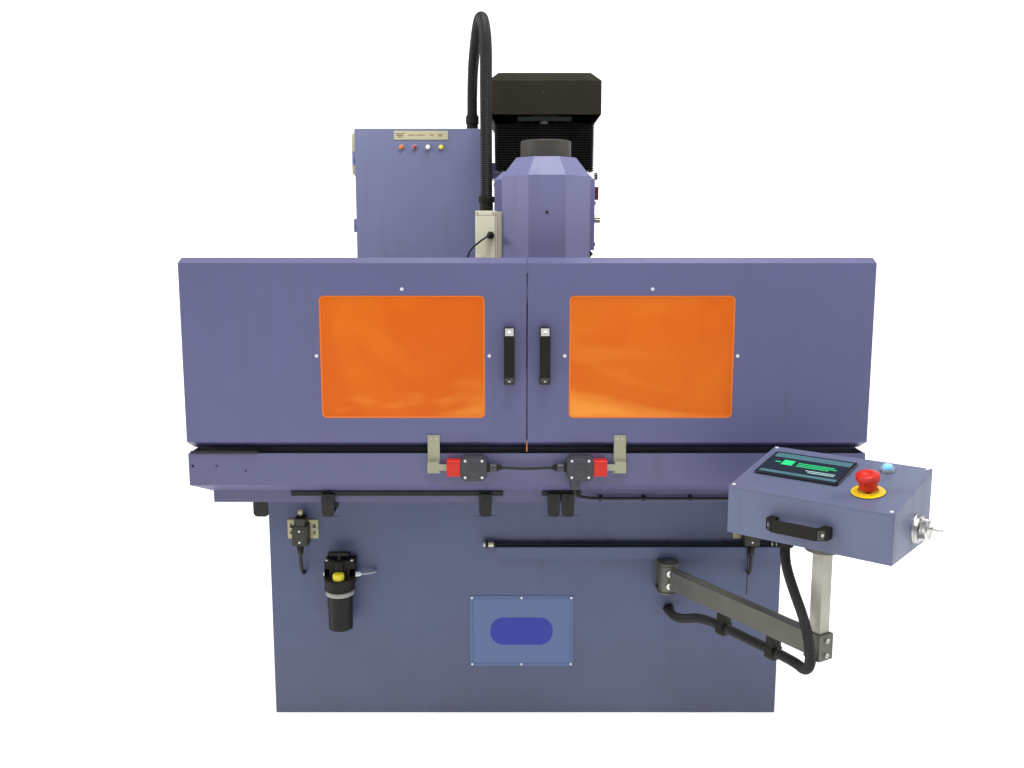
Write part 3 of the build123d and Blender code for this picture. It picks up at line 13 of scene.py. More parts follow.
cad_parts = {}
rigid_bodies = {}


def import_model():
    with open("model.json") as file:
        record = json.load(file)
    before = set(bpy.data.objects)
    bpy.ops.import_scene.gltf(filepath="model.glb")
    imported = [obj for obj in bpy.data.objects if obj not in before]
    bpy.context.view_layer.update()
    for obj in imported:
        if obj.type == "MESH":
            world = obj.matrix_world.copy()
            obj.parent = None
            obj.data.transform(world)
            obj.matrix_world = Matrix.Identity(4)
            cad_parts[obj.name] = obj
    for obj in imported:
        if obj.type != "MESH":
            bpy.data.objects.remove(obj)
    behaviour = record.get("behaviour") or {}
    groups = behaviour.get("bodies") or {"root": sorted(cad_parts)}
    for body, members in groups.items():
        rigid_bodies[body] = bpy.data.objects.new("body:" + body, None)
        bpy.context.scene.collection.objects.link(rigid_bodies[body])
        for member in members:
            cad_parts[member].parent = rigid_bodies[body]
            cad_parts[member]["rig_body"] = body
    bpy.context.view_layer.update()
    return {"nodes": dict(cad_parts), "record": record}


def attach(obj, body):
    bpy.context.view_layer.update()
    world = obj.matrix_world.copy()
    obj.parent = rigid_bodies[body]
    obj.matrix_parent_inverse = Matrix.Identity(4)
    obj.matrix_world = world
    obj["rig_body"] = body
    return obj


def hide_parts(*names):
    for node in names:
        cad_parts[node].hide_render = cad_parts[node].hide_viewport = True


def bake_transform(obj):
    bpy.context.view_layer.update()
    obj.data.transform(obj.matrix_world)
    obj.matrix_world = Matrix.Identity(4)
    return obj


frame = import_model()
MM = 0.001
UP = Vector((0, 0, 1))
FORWARD = Vector((0, -1, 0))
BACK = Vector((0, 1, 0))
RIGHT = Vector((1, 0, 0))
LEFT = Vector((-1, 0, 0))
DOWN = Vector((0, 0, -1))


# ---------------------------------------------------------------- camera
def set_camera():
    """A slightly wide lens at chest height in front of the doors, tipped down."""
    tipped = 8.5
    data = bpy.data.cameras.new("camera")
    data.sensor_width = 36
    data.lens = 33.4
    camera = bpy.data.objects.new("camera", data)
    camera.location = (-0.037, -2.867, 1.2886)
    camera.rotation_euler = (math.radians(90 - tipped), 0, 0)
    bpy.context.scene.collection.objects.link(camera)
    bpy.context.scene.camera = camera


set_camera()


# ---------------------------------------------------------------- finishes
class Link:
    """A shader socket. Arithmetic on it adds Math nodes."""

    def __init__(self, tree, socket):
        self.tree = tree
        self.socket = socket

    def _math(self, operation, *values):
        node = self.tree.nodes.new("ShaderNodeMath")
        node.operation = operation
        for target, value in zip(node.inputs, values):
            if isinstance(value, Link):
                self.tree.links.new(value.socket, target)
            else:
                target.default_value = value
        return Link(self.tree, node.outputs[0])

    def __add__(self, other):
        return self._math("ADD", self, other)

    def __radd__(self, other):
        return self._math("ADD", other, self)

    def __sub__(self, other):
        return self._math("SUBTRACT", self, other)

    def __rsub__(self, other):
        return self._math("SUBTRACT", other, self)

    def __mul__(self, other):
        return self._math("MULTIPLY", self, other)

    def __rmul__(self, other):
        return self._math("MULTIPLY", other, self)

    def over(self, low, high):
        """0 below low, 1 above high, and a straight rise between."""
        scaled = (self - low) * (1 / (high - low))
        return scaled._math("MINIMUM", scaled._math("MAXIMUM", scaled, 0.0), 1.0)


class Finish:
    """One material: its main shader, and the nodes that vary it over the surface."""

    def __init__(self, name, colour, rough=0.5, metal=0.0, **constants):
        self.material = bpy.data.materials.new(name)
        self.material.use_nodes = True
        self.tree = self.material.node_tree
        self.shader = self.tree.nodes["Principled BSDF"]
        self.colour = colour
        self.give("Base Color", colour)
        self.give("Roughness", rough)
        self.give("Metallic", metal)
        for socket, value in constants.items():
            self.give(socket.replace("_", " "), value)
        self.place = self.node("ShaderNodeTexCoord", output="Object")

    def give(self, socket, value):
        self.feed(self.shader.inputs[socket], value)

    def feed(self, target, value):
        if isinstance(value, Link):
            self.tree.links.new(value.socket, target)
        elif isinstance(value, tuple) and len(value) == 3 and target.type == "RGBA":
            target.default_value = (*value, 1)
        else:
            target.default_value = value

    def node(self, kind, settings=None, inputs=None, output=0):
        made = self.tree.nodes.new(kind)
        for name, value in (settings or {}).items():
            setattr(made, name, value)
        for name, value in (inputs or {}).items():
            self.feed(made.inputs[name], value)
        return Link(self.tree, made.outputs[output])

    def noise(self, scale, detail=3.0, stretch=None, distort=0.0):
        place = self.place
        if stretch:
            place = self.node("ShaderNodeMapping", None, {"Vector": place, "Scale": stretch})
        return self.node("ShaderNodeTexNoise", None,
                         {"Vector": place, "Scale": scale, "Detail": detail, "Distortion": distort})

    def height(self):
        """How high the point is above the floor."""
        return self.node("ShaderNodeSeparateXYZ", None, {"Vector": self.place}, output="Z")

    def mix(self, share, first, second):
        return self.node("ShaderNodeMix", {"data_type": "RGBA"}, {0: share, 6: first, 7: second},
                         output=2)

    def bump(self, height, strength, distance):
        inputs = {"Height": height, "Strength": strength, "Distance": distance}
        self.give("Normal", self.node("ShaderNodeBump", None, inputs))


def rgb(red, green, blue):
    """A colour from its usual 0 to 255 values."""
    return tuple((c / 255 / 12.92)
                 if c <= 10 else ((c / 255 + 0.055) / 1.055) ** 2.4 for c in (red, green, blue))


def shade(colour, factor):
    return tuple(min(1.0, c * factor) for c in colour)


def enamel(name, colour, darken_below=0.0):
    """Satin machine enamel with orange peel and patchy gloss.

    Grime hangs down it in streaks, and the paint turns darker towards the floor, below
    darken_below.
    """
    finish = Finish(name, colour, Coat_Weight=0.12, Coat_Roughness=0.25)
    patch = finish.noise(2.4, 4.0)
    cloud = finish.noise(11.0, 5.0, distort=0.4)
    peel = finish.noise(380.0, 2.0)
    streak = finish.noise(7.0, 4.0, stretch=(5.0, 5.0, 0.35)).over(0.53, 0.8)
    speck = finish.noise(130.0, 2.0).over(0.72, 0.8)
    worn = finish.mix(patch, shade(colour, 0.9), shade(colour, 1.1))
    worn = finish.mix(cloud.over(0.35, 0.75) * 0.35, worn, shade(colour, 0.86))
    worn = finish.mix(streak * 0.16, worn, rgb(78, 78, 96))
    worn = finish.mix(speck * 0.3, worn, rgb(60, 60, 66))
    # The paint turns darker towards the floor, up to this height.
    if darken_below:
        low = 1 - finish.height().over(0.0, darken_below)
        worn = finish.mix(low * (0.25 + 0.5 * cloud), worn, rgb(66, 66, 78))
    finish.give("Base Color", worn)
    finish.give("Roughness", 0.36 + 0.16 * patch + 0.1 * cloud + 0.12 * streak)
    finish.bump(peel * 0.6 + cloud * 0.8, 0.16, 0.4 * MM)
    return finish


def textured_black(name, colour, grain=520.0):
    """Wrinkle-finish paint or moulded nylon: a fine bump, with dust in it."""
    finish = Finish(name, colour, Specular_IOR_Level=0.2)
    wrinkle = finish.noise(grain, 4.0)
    dust = finish.noise(14.0, 5.0).over(0.45, 0.8)
    finish.give("Base Color", finish.mix(dust * 0.35, colour, shade(colour, 1.8)))
    finish.give("Roughness", 0.5 + 0.2 * dust)
    finish.bump(wrinkle, 0.35, 0.4 * MM)
    return finish


def rubber(name, colour=rgb(24, 24, 24), rough=0.5):
    """Black cable jacket or hose, with a bloom of dust."""
    finish = Finish(name, colour, Specular_IOR_Level=0.4)
    bloom = finish.noise(30.0, 5.0).over(0.4, 0.85)
    scuff = finish.noise(220.0, 3.0)
    finish.give("Base Color", finish.mix(bloom * 0.4, colour, shade(colour, 2.0)))
    finish.give("Roughness", rough + 0.2 * bloom)
    finish.bump(scuff, 0.1, 0.2 * MM)
    return finish


def plastic(name, colour, rough=0.38, grain=300.0):
    """Moulded plastic with a faint texture and handling marks."""
    finish = Finish(name, colour)
    marks = finish.noise(24.0, 5.0)
    fine = finish.noise(grain, 2.0)
    finish.give("Base Color", finish.mix(marks.over(0.4, 0.8) * 0.25, colour, shade(colour, 0.72)))
    finish.give("Roughness", rough - 0.06 + 0.2 * marks)
    finish.bump(fine, 0.12, 0.2 * MM)
    return finish


def brushed(name, colour=(0.6, 0.6, 0.58), rough=0.3, along=(1.0, 60.0, 60.0), tarnish=0.3):
    """Metal with a drawn or ground grain, duller in patches."""
    finish = Finish(name, colour, metal=1.0)
    grain = finish.noise(16.0, 6.0, stretch=along)
    patch = finish.noise(9.0, 5.0, distort=0.6)
    finish.give("Base Color",
                finish.mix(patch.over(0.4, 0.8) * tarnish, colour, shade(colour, 0.5)))
    finish.give("Roughness", rough + 0.25 * patch.over(0.3, 0.8) * tarnish + 0.16 * grain)
    finish.bump(grain, 0.12, 0.15 * MM)
    return finish


def tinted_sheet(name):
    """Orange polycarbonate: painted reflections in soft creases and broad sweeps, stronger low on
    the pane, and a faint painted glow, over a deep, almost solid tint.
    """
    finish = Finish(name, rgb(226, 104, 10), Coat_Weight=0.06, Coat_Roughness=0.2,
                    Specular_IOR_Level=0.25)
    crease = finish.noise(4.0, 6.0, stretch=(1.0, 1.0, 0.6), distort=1.4)
    sweep = finish.noise(2.3, 3.0, stretch=(0.6, 1.0, 1.8), distort=0.9)
    # Painted reflection: the lower part of the pane takes more of the lighter sweeps.
    low = 1 - finish.height().over(0.86, 0.98)
    grit = finish.noise(170.0, 3.0)
    # Painted reflection: the creases and sweeps lighten the orange.
    glow = finish.mix(crease.over(0.42, 0.72) * 0.5, rgb(206, 92, 2), rgb(222, 118, 12))
    glow = finish.mix(sweep.over(0.52, 0.74) * (0.25 + 0.6 * low), glow, rgb(250, 176, 70))
    finish.give("Base Color", glow)
    # Painted glow: the pane faintly emits its own colour.
    finish.give("Emission Color", glow)
    finish.give("Emission Strength", 0.1)
    finish.give("Roughness", 0.2 + 0.22 * crease + 0.1 * grit)
    finish.give("Alpha", 0.94 + 0.05 * crease)
    finish.bump(crease + 0.2 * sweep, 0.1, 3 * MM)
    return finish


def lamp_lens(name, colour, glow):
    """A domed signal lens, a little brighter where its ribs catch the light."""
    finish = Finish(name, colour, rough=0.15, Coat_Weight=0.8, Emission_Strength=glow)
    rib = finish.noise(260.0, 1.0)
    lit = finish.mix(rib, shade(colour, 0.8), shade(colour, 1.25))
    finish.give("Base Color", lit)
    finish.give("Emission Color", lit)
    return finish


def grit_stone(name):
    """Vitrified abrasive: pale grains in a darker bond."""
    finish = Finish(name, rgb(150, 128, 112), rough=0.95)
    grain = finish.node("ShaderNodeTexVoronoi", None, {"Vector": finish.place, "Scale": 900.0},
                        output="Distance")
    finish.give("Base Color",
                finish.mix(grain.over(0.1, 0.6), rgb(214, 200, 186), rgb(110, 86, 74)))
    finish.bump(grain, 0.8, 0.8 * MM)
    return finish


def printed_plate(name, ground):
    """Anodised or painted plate with a fine brushed grain under the print."""
    finish = Finish(name, ground, rough=0.35, metal=0.25)
    grain = finish.noise(20.0, 4.0, stretch=(2.0, 60.0, 60.0))
    cloud = finish.noise(9.0, 4.0)
    finish.give("Base Color",
                finish.mix(0.25 * grain + 0.35 * cloud, shade(ground, 0.86), shade(ground, 1.12)))
    finish.give("Roughness", 0.3 + 0.2 * cloud)
    return finish


def smoked_cup(name):
    """The oil cup's smoked plastic, a little lighter above the oil's level."""
    finish = Finish(name, rgb(24, 23, 21), rough=0.4, Specular_IOR_Level=0.25)
    oil = 1 - finish.height().over(0.300, 0.306)
    haze = finish.noise(40.0, 4.0)
    finish.give("Base Color", finish.mix(oil * 0.6 + 0.3 * haze, rgb(22, 21, 20), rgb(14, 13, 11)))
    finish.give("Roughness", 0.36 + 0.2 * haze)
    return finish


body_enamel = enamel("body_enamel", rgb(112, 112, 152))
# The body's blue, painted darker for the doors as painted shade.
door_enamel_painted_shade = enamel("door_enamel_painted_shade", rgb(91, 92, 131))
# The base turns darker towards the floor, up to 0.35 m.
base_enamel = enamel("base_enamel", rgb(76, 85, 118), darken_below=0.35)
# The body's blue, painted lighter for the cabinet as painted light.
cabinet_enamel_painted_light = enamel("cabinet_enamel_painted_light", rgb(124, 129, 166))
pendant_enamel = enamel("pendant_enamel", rgb(95, 102, 130))
wrinkle_black = textured_black("wrinkle_black", rgb(38, 33, 22))
nylon_black = textured_black("nylon_black", rgb(28, 26, 20), grain=700.0)
cap_grey = textured_black("cap_grey", rgb(66, 63, 58), grain=420.0)
bellows_cloth = rubber("bellows_cloth", rgb(25, 24, 22), rough=0.6)
hose_rubber = rubber("hose_rubber")
cable_rubber = rubber("cable_rubber", rgb(20, 20, 22), rough=0.42)
bumper_rubber = rubber("bumper_rubber", rgb(30, 30, 29))
zinc = brushed("zinc", rgb(196, 194, 178), rough=0.34, tarnish=0.35)
bright_steel = brushed("bright_steel", rgb(206, 206, 202), rough=0.2, tarnish=0.2)
ground_steel = brushed("ground_steel", rgb(170, 170, 168), rough=0.22, along=(60.0, 3.0, 60.0),
                       tarnish=0.35)
cast_iron = brushed("cast_iron", rgb(112, 113, 112), rough=0.5, along=(3.0, 3.0, 3.0), tarnish=0.6)
arm_steel = brushed("arm_steel", rgb(104, 104, 95), rough=0.42, along=(10.0, 10.0, 1.0),
                    tarnish=0.55)
arm_steel.give("Metallic", 0.55)
post_steel = brushed("post_steel", rgb(176, 173, 160), rough=0.4, along=(10.0, 10.0, 1.0),
                     tarnish=0.3)
post_steel.give("Metallic", 0.5)
motor_paint = enamel("motor_paint", rgb(70, 76, 84))
beige = plastic("beige_housing", rgb(236, 234, 206), rough=0.42)
brass_beige = plastic("switch_plate", rgb(196, 188, 146), rough=0.4)
switch_black = plastic("switch_black", rgb(50, 48, 38), rough=0.5)
signal_red = plastic("signal_red", rgb(206, 30, 8), rough=0.34, grain=160.0)
signal_yellow = plastic("signal_yellow", rgb(238, 200, 10), rough=0.32)
oil_yellow = plastic("oil_yellow", rgb(226, 206, 40), rough=0.34)
white_nylon = plastic("white_nylon", rgb(226, 228, 232), rough=0.4)
tube_grey = plastic("tube_grey", rgb(150, 152, 162), rough=0.3)
module_grey = plastic("module_grey", rgb(196, 198, 196), rough=0.45)
dark_red = plastic("dark_red", rgb(96, 34, 40), rough=0.3)
button_blue = lamp_lens("button_blue", rgb(120, 186, 250), 0.3)
orange_sheet = tinted_sheet("orange_sheet")
orange_seal = plastic("orange_seal", rgb(230, 120, 30), rough=0.3)
stone = grit_stone("stone")
name_blue = printed_plate("name_blue", rgb(90, 106, 146))
name_line = printed_plate("name_line", rgb(66, 84, 130))
label_cream = printed_plate("label_cream", rgb(222, 214, 176))
label_ink = printed_plate("label_ink", rgb(110, 100, 90))
smoke_cup = smoked_cup("smoke_cup")
bezel_black = Finish("bezel_black", rgb(20, 21, 22), rough=0.2, Coat_Weight=0.4)
bezel_black.give("Roughness", 0.16 + 0.2 * bezel_black.noise(30.0, 5.0))
screen_glass = Finish("screen_glass", rgb(14, 22, 24), rough=0.1, Coat_Weight=0.7,
                      Emission_Strength=0.5)
screen_glass.give("Emission Color",
                  screen_glass.mix(screen_glass.noise(12.0, 2.0), rgb(6, 16, 18), rgb(14, 34, 36)))
screen_glass.give("Roughness", 0.08 + 0.2 * screen_glass.noise(22.0, 4.0))
screen_green = lamp_lens("screen_green", rgb(30, 190, 110), 0.7)
screen_pale = lamp_lens("screen_pale", rgb(160, 200, 196), 0.5)
screen_slate = lamp_lens("screen_slate", rgb(62, 98, 104), 0.6)
name_field = printed_plate("name_field", rgb(40, 48, 150))
ring_grey = plastic("ring_grey", rgb(148, 148, 142), rough=0.4)
cream_vent = plastic("cream_vent", rgb(206, 202, 168), rough=0.5)
lamp_amber = lamp_lens("lamp_amber", rgb(220, 104, 40), 0.3)
lamp_red = lamp_lens("lamp_red", rgb(160, 20, 34), 0.3)
lamp_white = lamp_lens("lamp_white", rgb(236, 238, 238), 0.5)
lamp_yellow = lamp_lens("lamp_yellow", rgb(244, 210, 60), 0.4)
beige_shade = plastic("beige_bracket", rgb(196, 192, 172), rough=0.42)
switch_dark = plastic("switch_dark", rgb(56, 57, 64), rough=0.4)
dog_black = textured_black("dog_black", rgb(44, 45, 42), grain=600.0)
# The body's blue, painted darker for the tray as painted shade.
tray_enamel_painted_shade = enamel("tray_enamel_painted_shade", rgb(91, 91, 126))
bracket_steel = brushed("bracket_steel", rgb(168, 168, 144), rough=0.45, along=(40.0, 40.0, 2.0),
                        tarnish=0.4)
bracket_steel.give("Metallic", 0.5)


# ---------------------------------------------------------------- mesh making
def islands(mesh):
    """A mesh's separate solids, merged, as (points, faces).

    They come from left to right, then front to back, then upwards.
    """
    bm = bmesh.new()
    bm.from_mesh(mesh)
    bmesh.ops.remove_doubles(bm, verts=bm.verts, dist=0.008 * MM)
    bm.faces.ensure_lookup_table()
    seen = set()
    found = []
    for face in bm.faces:
        if face.index in seen:
            continue
        group = []
        stack = [face]
        seen.add(face.index)
        while stack:
            here = stack.pop()
            group.append(here)
            for edge in here.edges:
                for beside in edge.link_faces:
                    if beside.index not in seen:
                        seen.add(beside.index)
                        stack.append(beside)
        number = {}
        points = []
        for part in group:
            for vert in part.verts:
                if vert.index not in number:
                    number[vert.index] = len(points)
                    points.append(vert.co.copy())
        found.append((points, [[number[v.index] for v in part.verts] for part in group]))
    bm.free()

    def order(solid):
        low = [min(p[i] for p in solid[0]) for i in range(3)]
        return tuple(round(c, 4) for c in low)

    return sorted(found, key=order)


def add_piece(name, mesh, finish, body=None, smooth_angle=35.0):
    """Links a mesh as a piece with its finish, smooth up to an angle, riding on a body."""
    for face in mesh.polygons:
        face.use_smooth = True
    mesh.set_sharp_from_angle(angle=math.radians(smooth_angle))
    mesh.materials.clear()
    mesh.materials.append(finish.material)
    piece = bpy.data.objects.new(name, mesh)
    bpy.context.scene.collection.objects.link(piece)
    if body:
        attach(piece, body)
    return piece


def body_of_node(node):
    return frame["nodes"][node]["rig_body"]


def soften(piece, width, segments=2):
    if width:
        bevel = piece.modifiers.new("edges", "BEVEL")
        bevel.width = width
        bevel.segments = segments
        bevel.limit_method = "ANGLE"
        bevel.angle_limit = math.radians(38)
        bevel.use_clamp_overlap = False
        bevel.harden_normals = True
    return piece


def slot_of(node):
    rows = frame["record"]["subparts"]
    return next(row["material_slot"] for row in rows if row["node"] == node)


def copies(node, finish, edge, pick):
    """A CAD node's solids as merged meshes with broken edges.

    pick gives each solid its finish and edge, or None to leave it out.
    """
    made = []
    for points, faces in islands(frame["nodes"][node].data):
        low = Vector([min(p[k] for p in points) for k in range(3)])
        high = Vector([max(p[k] for p in points) for k in range(3)])
        look, width = pick(low, high) if pick else (finish, edge)
        if look is None:
            continue
        bm = bmesh.new()
        verts = [bm.verts.new(p) for p in points]
        for face in faces:
            bm.faces.new([verts[k] for k in face])
        bmesh.ops.dissolve_limit(bm, angle_limit=math.radians(0.4), verts=bm.verts, edges=bm.edges)
        mesh = bpy.data.meshes.new(f"{node}_look")
        bm.to_mesh(mesh)
        bm.free()
        name = f"{node}_look_{len(made) + 1}" if made else f"{node}_look"
        piece = soften(add_piece(name, mesh, look), width)
        made.append(piece)
    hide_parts(node)
    return made


def dress(node, finish=None, edge=1 * MM, pick=None):
    """Shows a CAD node as the same solids with broken edges, riding where it rides."""
    made = copies(node, finish, edge, pick)
    for piece in made:
        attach(piece, body_of_node(node))
    return made


def paint(finish, *nodes):
    """Gives enclosed CAD nodes a finish, and leaves their shape."""
    for node in nodes:
        for slot in frame["nodes"][node].material_slots:
            slot.material = finish.material


class Build:
    """Collects simple closed shapes into one piece."""

    def __init__(self, at=None):
        self.bm = bmesh.new()
        self.at = at or Matrix.Identity(4)

    def box(self, low, high):
        size = Vector(high) - Vector(low)
        made = bmesh.ops.create_cube(self.bm, size=1.0)
        place = Matrix.Translation((Vector(high) + Vector(low)) / 2) @ Matrix.Diagonal((*size, 1))
        bmesh.ops.transform(self.bm, matrix=self.at @ place, verts=made["verts"])
        return self

    def lathe(self, origin, axis, profile, sides=40):
        """Turns (distance along the axis, radius) points about an axis.

        An end at radius 0 closes to a point. A profile that starts across a face and comes back to
        its first radius is a ring, whose bore stays open.
        """
        turn = Vector(axis).normalized().to_track_quat("Z", "Y").to_matrix().to_4x4()
        place = self.at @ Matrix.Translation(Vector(origin)) @ turn
        rings = []
        for along, radius in profile:
            if radius <= 0:
                rings.append([self.bm.verts.new(place @ Vector((0, 0, along)))])
                continue
            ring = []
            for i in range(sides):
                a = 2 * math.pi * i / sides
                ring.append(self.bm.verts.new(place @ Vector((radius * math.cos(a),
                                                              radius * math.sin(a), along))))
            rings.append(ring)
        bored = profile[0][0] == profile[1][0] and 0 < profile[0][1] == profile[-1][1]
        for lower, upper in zip(rings, rings[1:] + rings[:1] if bored else rings[1:]):
            for i in range(sides):
                j = (i + 1) % sides
                corners = [lower[i % len(lower)], lower[j % len(lower)], upper[j % len(upper)],
                           upper[i % len(upper)]]
                distinct = []
                for corner in corners:
                    if corner not in distinct:
                        distinct.append(corner)
                if len(distinct) > 2:
                    self.bm.faces.new(distinct)
        for ring in (rings[0][::-1], rings[-1]):
            if len(ring) > 1 and not bored:
                self.bm.faces.new(ring)
        return self

    def prism(self, origin, axis, across, outline, depth):
        """An outline in the plane across the axis, drawn out along the axis."""
        z = Vector(axis).normalized()
        x = Vector(across).normalized()
        y = z.cross(x)
        base = [self.bm.verts.new(self.at @ (Vector(origin) + x * a + y * b)) for a, b in outline]
        top = [self.bm.verts.new(self.at @ (Vector(origin) + x * a + y * b + z * depth)) for a,
               b in outline]
        self.bm.faces.new(base[::-1])
        self.bm.faces.new(top)
        for i in range(len(base)):
            j = (i + 1) % len(base)
            self.bm.faces.new([base[i], base[j], top[j], top[i]])
        return self

    def piece(self, name, finish, body, slot=None, edge=0.0, smooth_angle=35.0):
        bmesh.ops.recalc_face_normals(self.bm, faces=self.bm.faces)
        mesh = bpy.data.meshes.new(name)
        self.bm.to_mesh(mesh)
        self.bm.free()
        made = soften(add_piece(name, mesh, finish, body, smooth_angle), edge)
        return made


# ---------------------------------------------------------------- repeats made with Geometry Nodes
class Tree:
    """A geometry node tree with named inputs, and short ways to add and join its nodes."""

    def __init__(self, name, inputs):
        self.tree = bpy.data.node_groups.new(name, "GeometryNodeTree")
        face = self.tree.interface
        face.new_socket("Geometry", in_out="OUTPUT", socket_type="NodeSocketGeometry")
        face.new_socket("Geometry", in_out="INPUT", socket_type="NodeSocketGeometry")
        for title, kind in inputs.items():
            face.new_socket(title, in_out="INPUT", socket_type=f"NodeSocket{kind}")
        self.start = self.tree.nodes.new("NodeGroupInput")
        self.end = self.tree.nodes.new("NodeGroupOutput")

    def input(self, title):
        return self.start.outputs[title]

    def add(self, kind, settings=None, inputs=None):
        node = self.tree.nodes.new(kind)
        for name, value in (settings or {}).items():
            setattr(node, name, value)
        for name, value in (inputs or {}).items():
            target = node.inputs[name]
            if isinstance(value, bpy.types.NodeSocket):
                self.tree.links.new(value, target)
            else:
                target.default_value = value
        return node

    def math(self, operation, first, second=0.0):
        node = self.add("ShaderNodeMath", {"operation": operation}, {0: first, 1: second})
        return node.outputs[0]

    def close(self, geometry):
        """Realizes what was instanced, gives it the material, and ends the tree."""
        real = self.add("GeometryNodeRealizeInstances", None, {"Geometry": geometry}).outputs[0]
        done = self.add("GeometryNodeSetMaterial", None,
                        {"Geometry": real, "Material": self.input("Material")})
        self.tree.links.new(done.outputs[0], self.end.inputs[0])
        return self.tree


def grown(source, tree, values):
    """The plain mesh that a tree makes from a source object, which is then removed."""
    modifier = source.modifiers.new("grow", "NODES")
    modifier.node_group = tree
    for item in tree.interface.items_tree:
        if item.item_type == "SOCKET" and item.in_out == "INPUT" and item.name in values:
            modifier[item.identifier] = values[item.name]
    bpy.context.view_layer.update()
    shown = source.evaluated_get(bpy.context.evaluated_depsgraph_get())
    mesh = bpy.data.meshes.new_from_object(shown)
    source.modifiers.remove(modifier)
    bpy.data.objects.remove(source)
    return mesh


def screw_tree():
    """Screw heads on a mesh's points, with a socket sunk in each, all facing one way."""
    t = Tree("screw_heads", {"Radius": "Float", "Height": "Float", "Socket": "Float",
                             "Sides": "Int", "Facing": "Vector", "Material": "Material"})
    head = t.add("GeometryNodeMeshCylinder", None, {"Vertices": t.input("Sides"),
                                                    "Radius": t.input("Radius"),
                                                    "Depth": t.input("Height")})
    normal = t.add("GeometryNodeInputNormal").outputs[0]
    upward = t.add("ShaderNodeSeparateXYZ", None, {0: normal}).outputs[2]
    is_top = t.math("GREATER_THAN", upward, 0.5)
    rim = t.add("GeometryNodeExtrudeMesh", None, {"Mesh": head.outputs["Mesh"], "Selection": is_top,
                                                  "Offset Scale": 0.0})
    inner = t.add("GeometryNodeScaleElements", None, {"Geometry": rim.outputs["Mesh"],
                                                      "Selection": rim.outputs["Top"],
                                                      "Scale": t.input("Socket")})
    depth = t.math("MULTIPLY", t.input("Height"), -0.55)
    sunk = t.add("GeometryNodeExtrudeMesh", None,
                 {"Mesh": inner.outputs[0], "Selection": rim.outputs["Top"], "Offset Scale": depth})
    turn = t.add("FunctionNodeAlignRotationToVector", {"axis": "Z"}, {"Vector": t.input("Facing")})
    spread = t.add("GeometryNodeInstanceOnPoints", None, {"Points": t.input("Geometry"),
                                                          "Instance": sunk.outputs["Mesh"],
                                                          "Rotation": turn.outputs[0]})
    return t.close(spread.outputs[0])


def hose_tree():
    """A corrugated hose along a curve: its radius rises and falls at the rib pitch."""
    t = Tree("corrugated_hose", {"Radius": "Float", "Rib depth": "Float", "Rib pitch": "Float",
                                 "Sides": "Int", "Material": "Material"})
    step = t.math("DIVIDE", t.input("Rib pitch"), 6.0)
    line = t.add("GeometryNodeResampleCurve", {"mode": "LENGTH"},
                 {"Curve": t.input("Geometry"), "Length": step})
    along = t.add("GeometryNodeSplineParameter").outputs["Length"]
    phase = t.math("MULTIPLY", t.math("DIVIDE", along, t.input("Rib pitch")), 2 * math.pi)
    wave = t.math("MULTIPLY", t.math("SINE", phase), t.math("MULTIPLY", t.input("Rib depth"), 0.5))
    mean = t.math("SUBTRACT", t.input("Radius"), t.math("MULTIPLY", t.input("Rib depth"), 0.5))
    sized = t.add("GeometryNodeSetCurveRadius", None, {"Curve": line.outputs[0],
                                                       "Radius": t.math("ADD", mean, wave)})
    ring = t.add("GeometryNodeCurvePrimitiveCircle", None,
                 {"Resolution": t.input("Sides"), "Radius": 1.0})
    inputs = {"Curve": sized.outputs[0], "Profile Curve": ring.outputs["Curve"], "Fill Caps": True}
    skin = t.add("GeometryNodeCurveToMesh", None, inputs)
    if "Scale" in skin.inputs:
        radius = t.add("GeometryNodeInputRadius").outputs[0]
        t.tree.links.new(radius, skin.inputs["Scale"])
    return t.close(skin.outputs[0])


SCREWS = screw_tree()
HOSE = hose_tree()


def screws(name, body, places, radius, height, finish, facing=FORWARD, socket=0.55, sides=24):
    """A set of screw heads whose undersides sit at the given places."""
    facing = Vector(facing).normalized()
    mesh = bpy.data.meshes.new(name)
    mesh.from_pydata([Vector(p) + facing * height / 2 for p in places], [], [])
    source = bpy.data.objects.new(f"{name}_places", mesh)
    bpy.context.scene.collection.objects.link(source)
    made = grown(source, SCREWS, {"Radius": radius, "Height": height, "Socket": socket,
                                  "Sides": sides, "Facing": facing, "Material": finish.material})
    piece = add_piece(name, made, finish, body)
    return piece


def smooth_line(name, route):
    """An open smooth curve with the route's points as its control points."""
    data = bpy.data.curves.new(name, "CURVE")
    data.dimensions = "3D"
    data.resolution_u = 16
    spline = data.splines.new("NURBS")
    spline.points.add(len(route) - 1)
    for point, place in zip(spline.points, route):
        point.co = (*place, 1)
    spline.order_u = 3
    spline.use_endpoint_u = True
    curve = bpy.data.objects.new(name, data)
    bpy.context.scene.collection.objects.link(curve)
    return curve


def hose(name, route, radius, finish, rib=None, sides=20):
    """A hose or cable along a smooth curve, and the points of that curve. rib is (depth, pitch)."""
    curve = smooth_line(f"{name}_line", route)
    line = bpy.data.meshes.new_from_object(curve)
    path = [v.co.copy() for v in line.vertices]
    bpy.data.meshes.remove(line)
    depth, pitch = rib or (0.0, radius * 4)
    made = grown(curve, HOSE, {"Radius": radius, "Rib depth": depth, "Rib pitch": pitch,
                               "Sides": sides, "Material": finish.material})
    return add_piece(name, made, finish), path


def mm(*values):
    return Vector([v * MM for v in values])


def turned(degrees, axis):
    return Matrix.Rotation(math.radians(degrees), 4, axis)


def on_front(x, y, z):
    """A place in millimetres that faces the front: its X runs right and its Y runs up."""
    return Matrix.Translation(mm(x, y, z)) @ turned(90, "X")


def side_name(side):
    return "left" if side < 0 else "right"


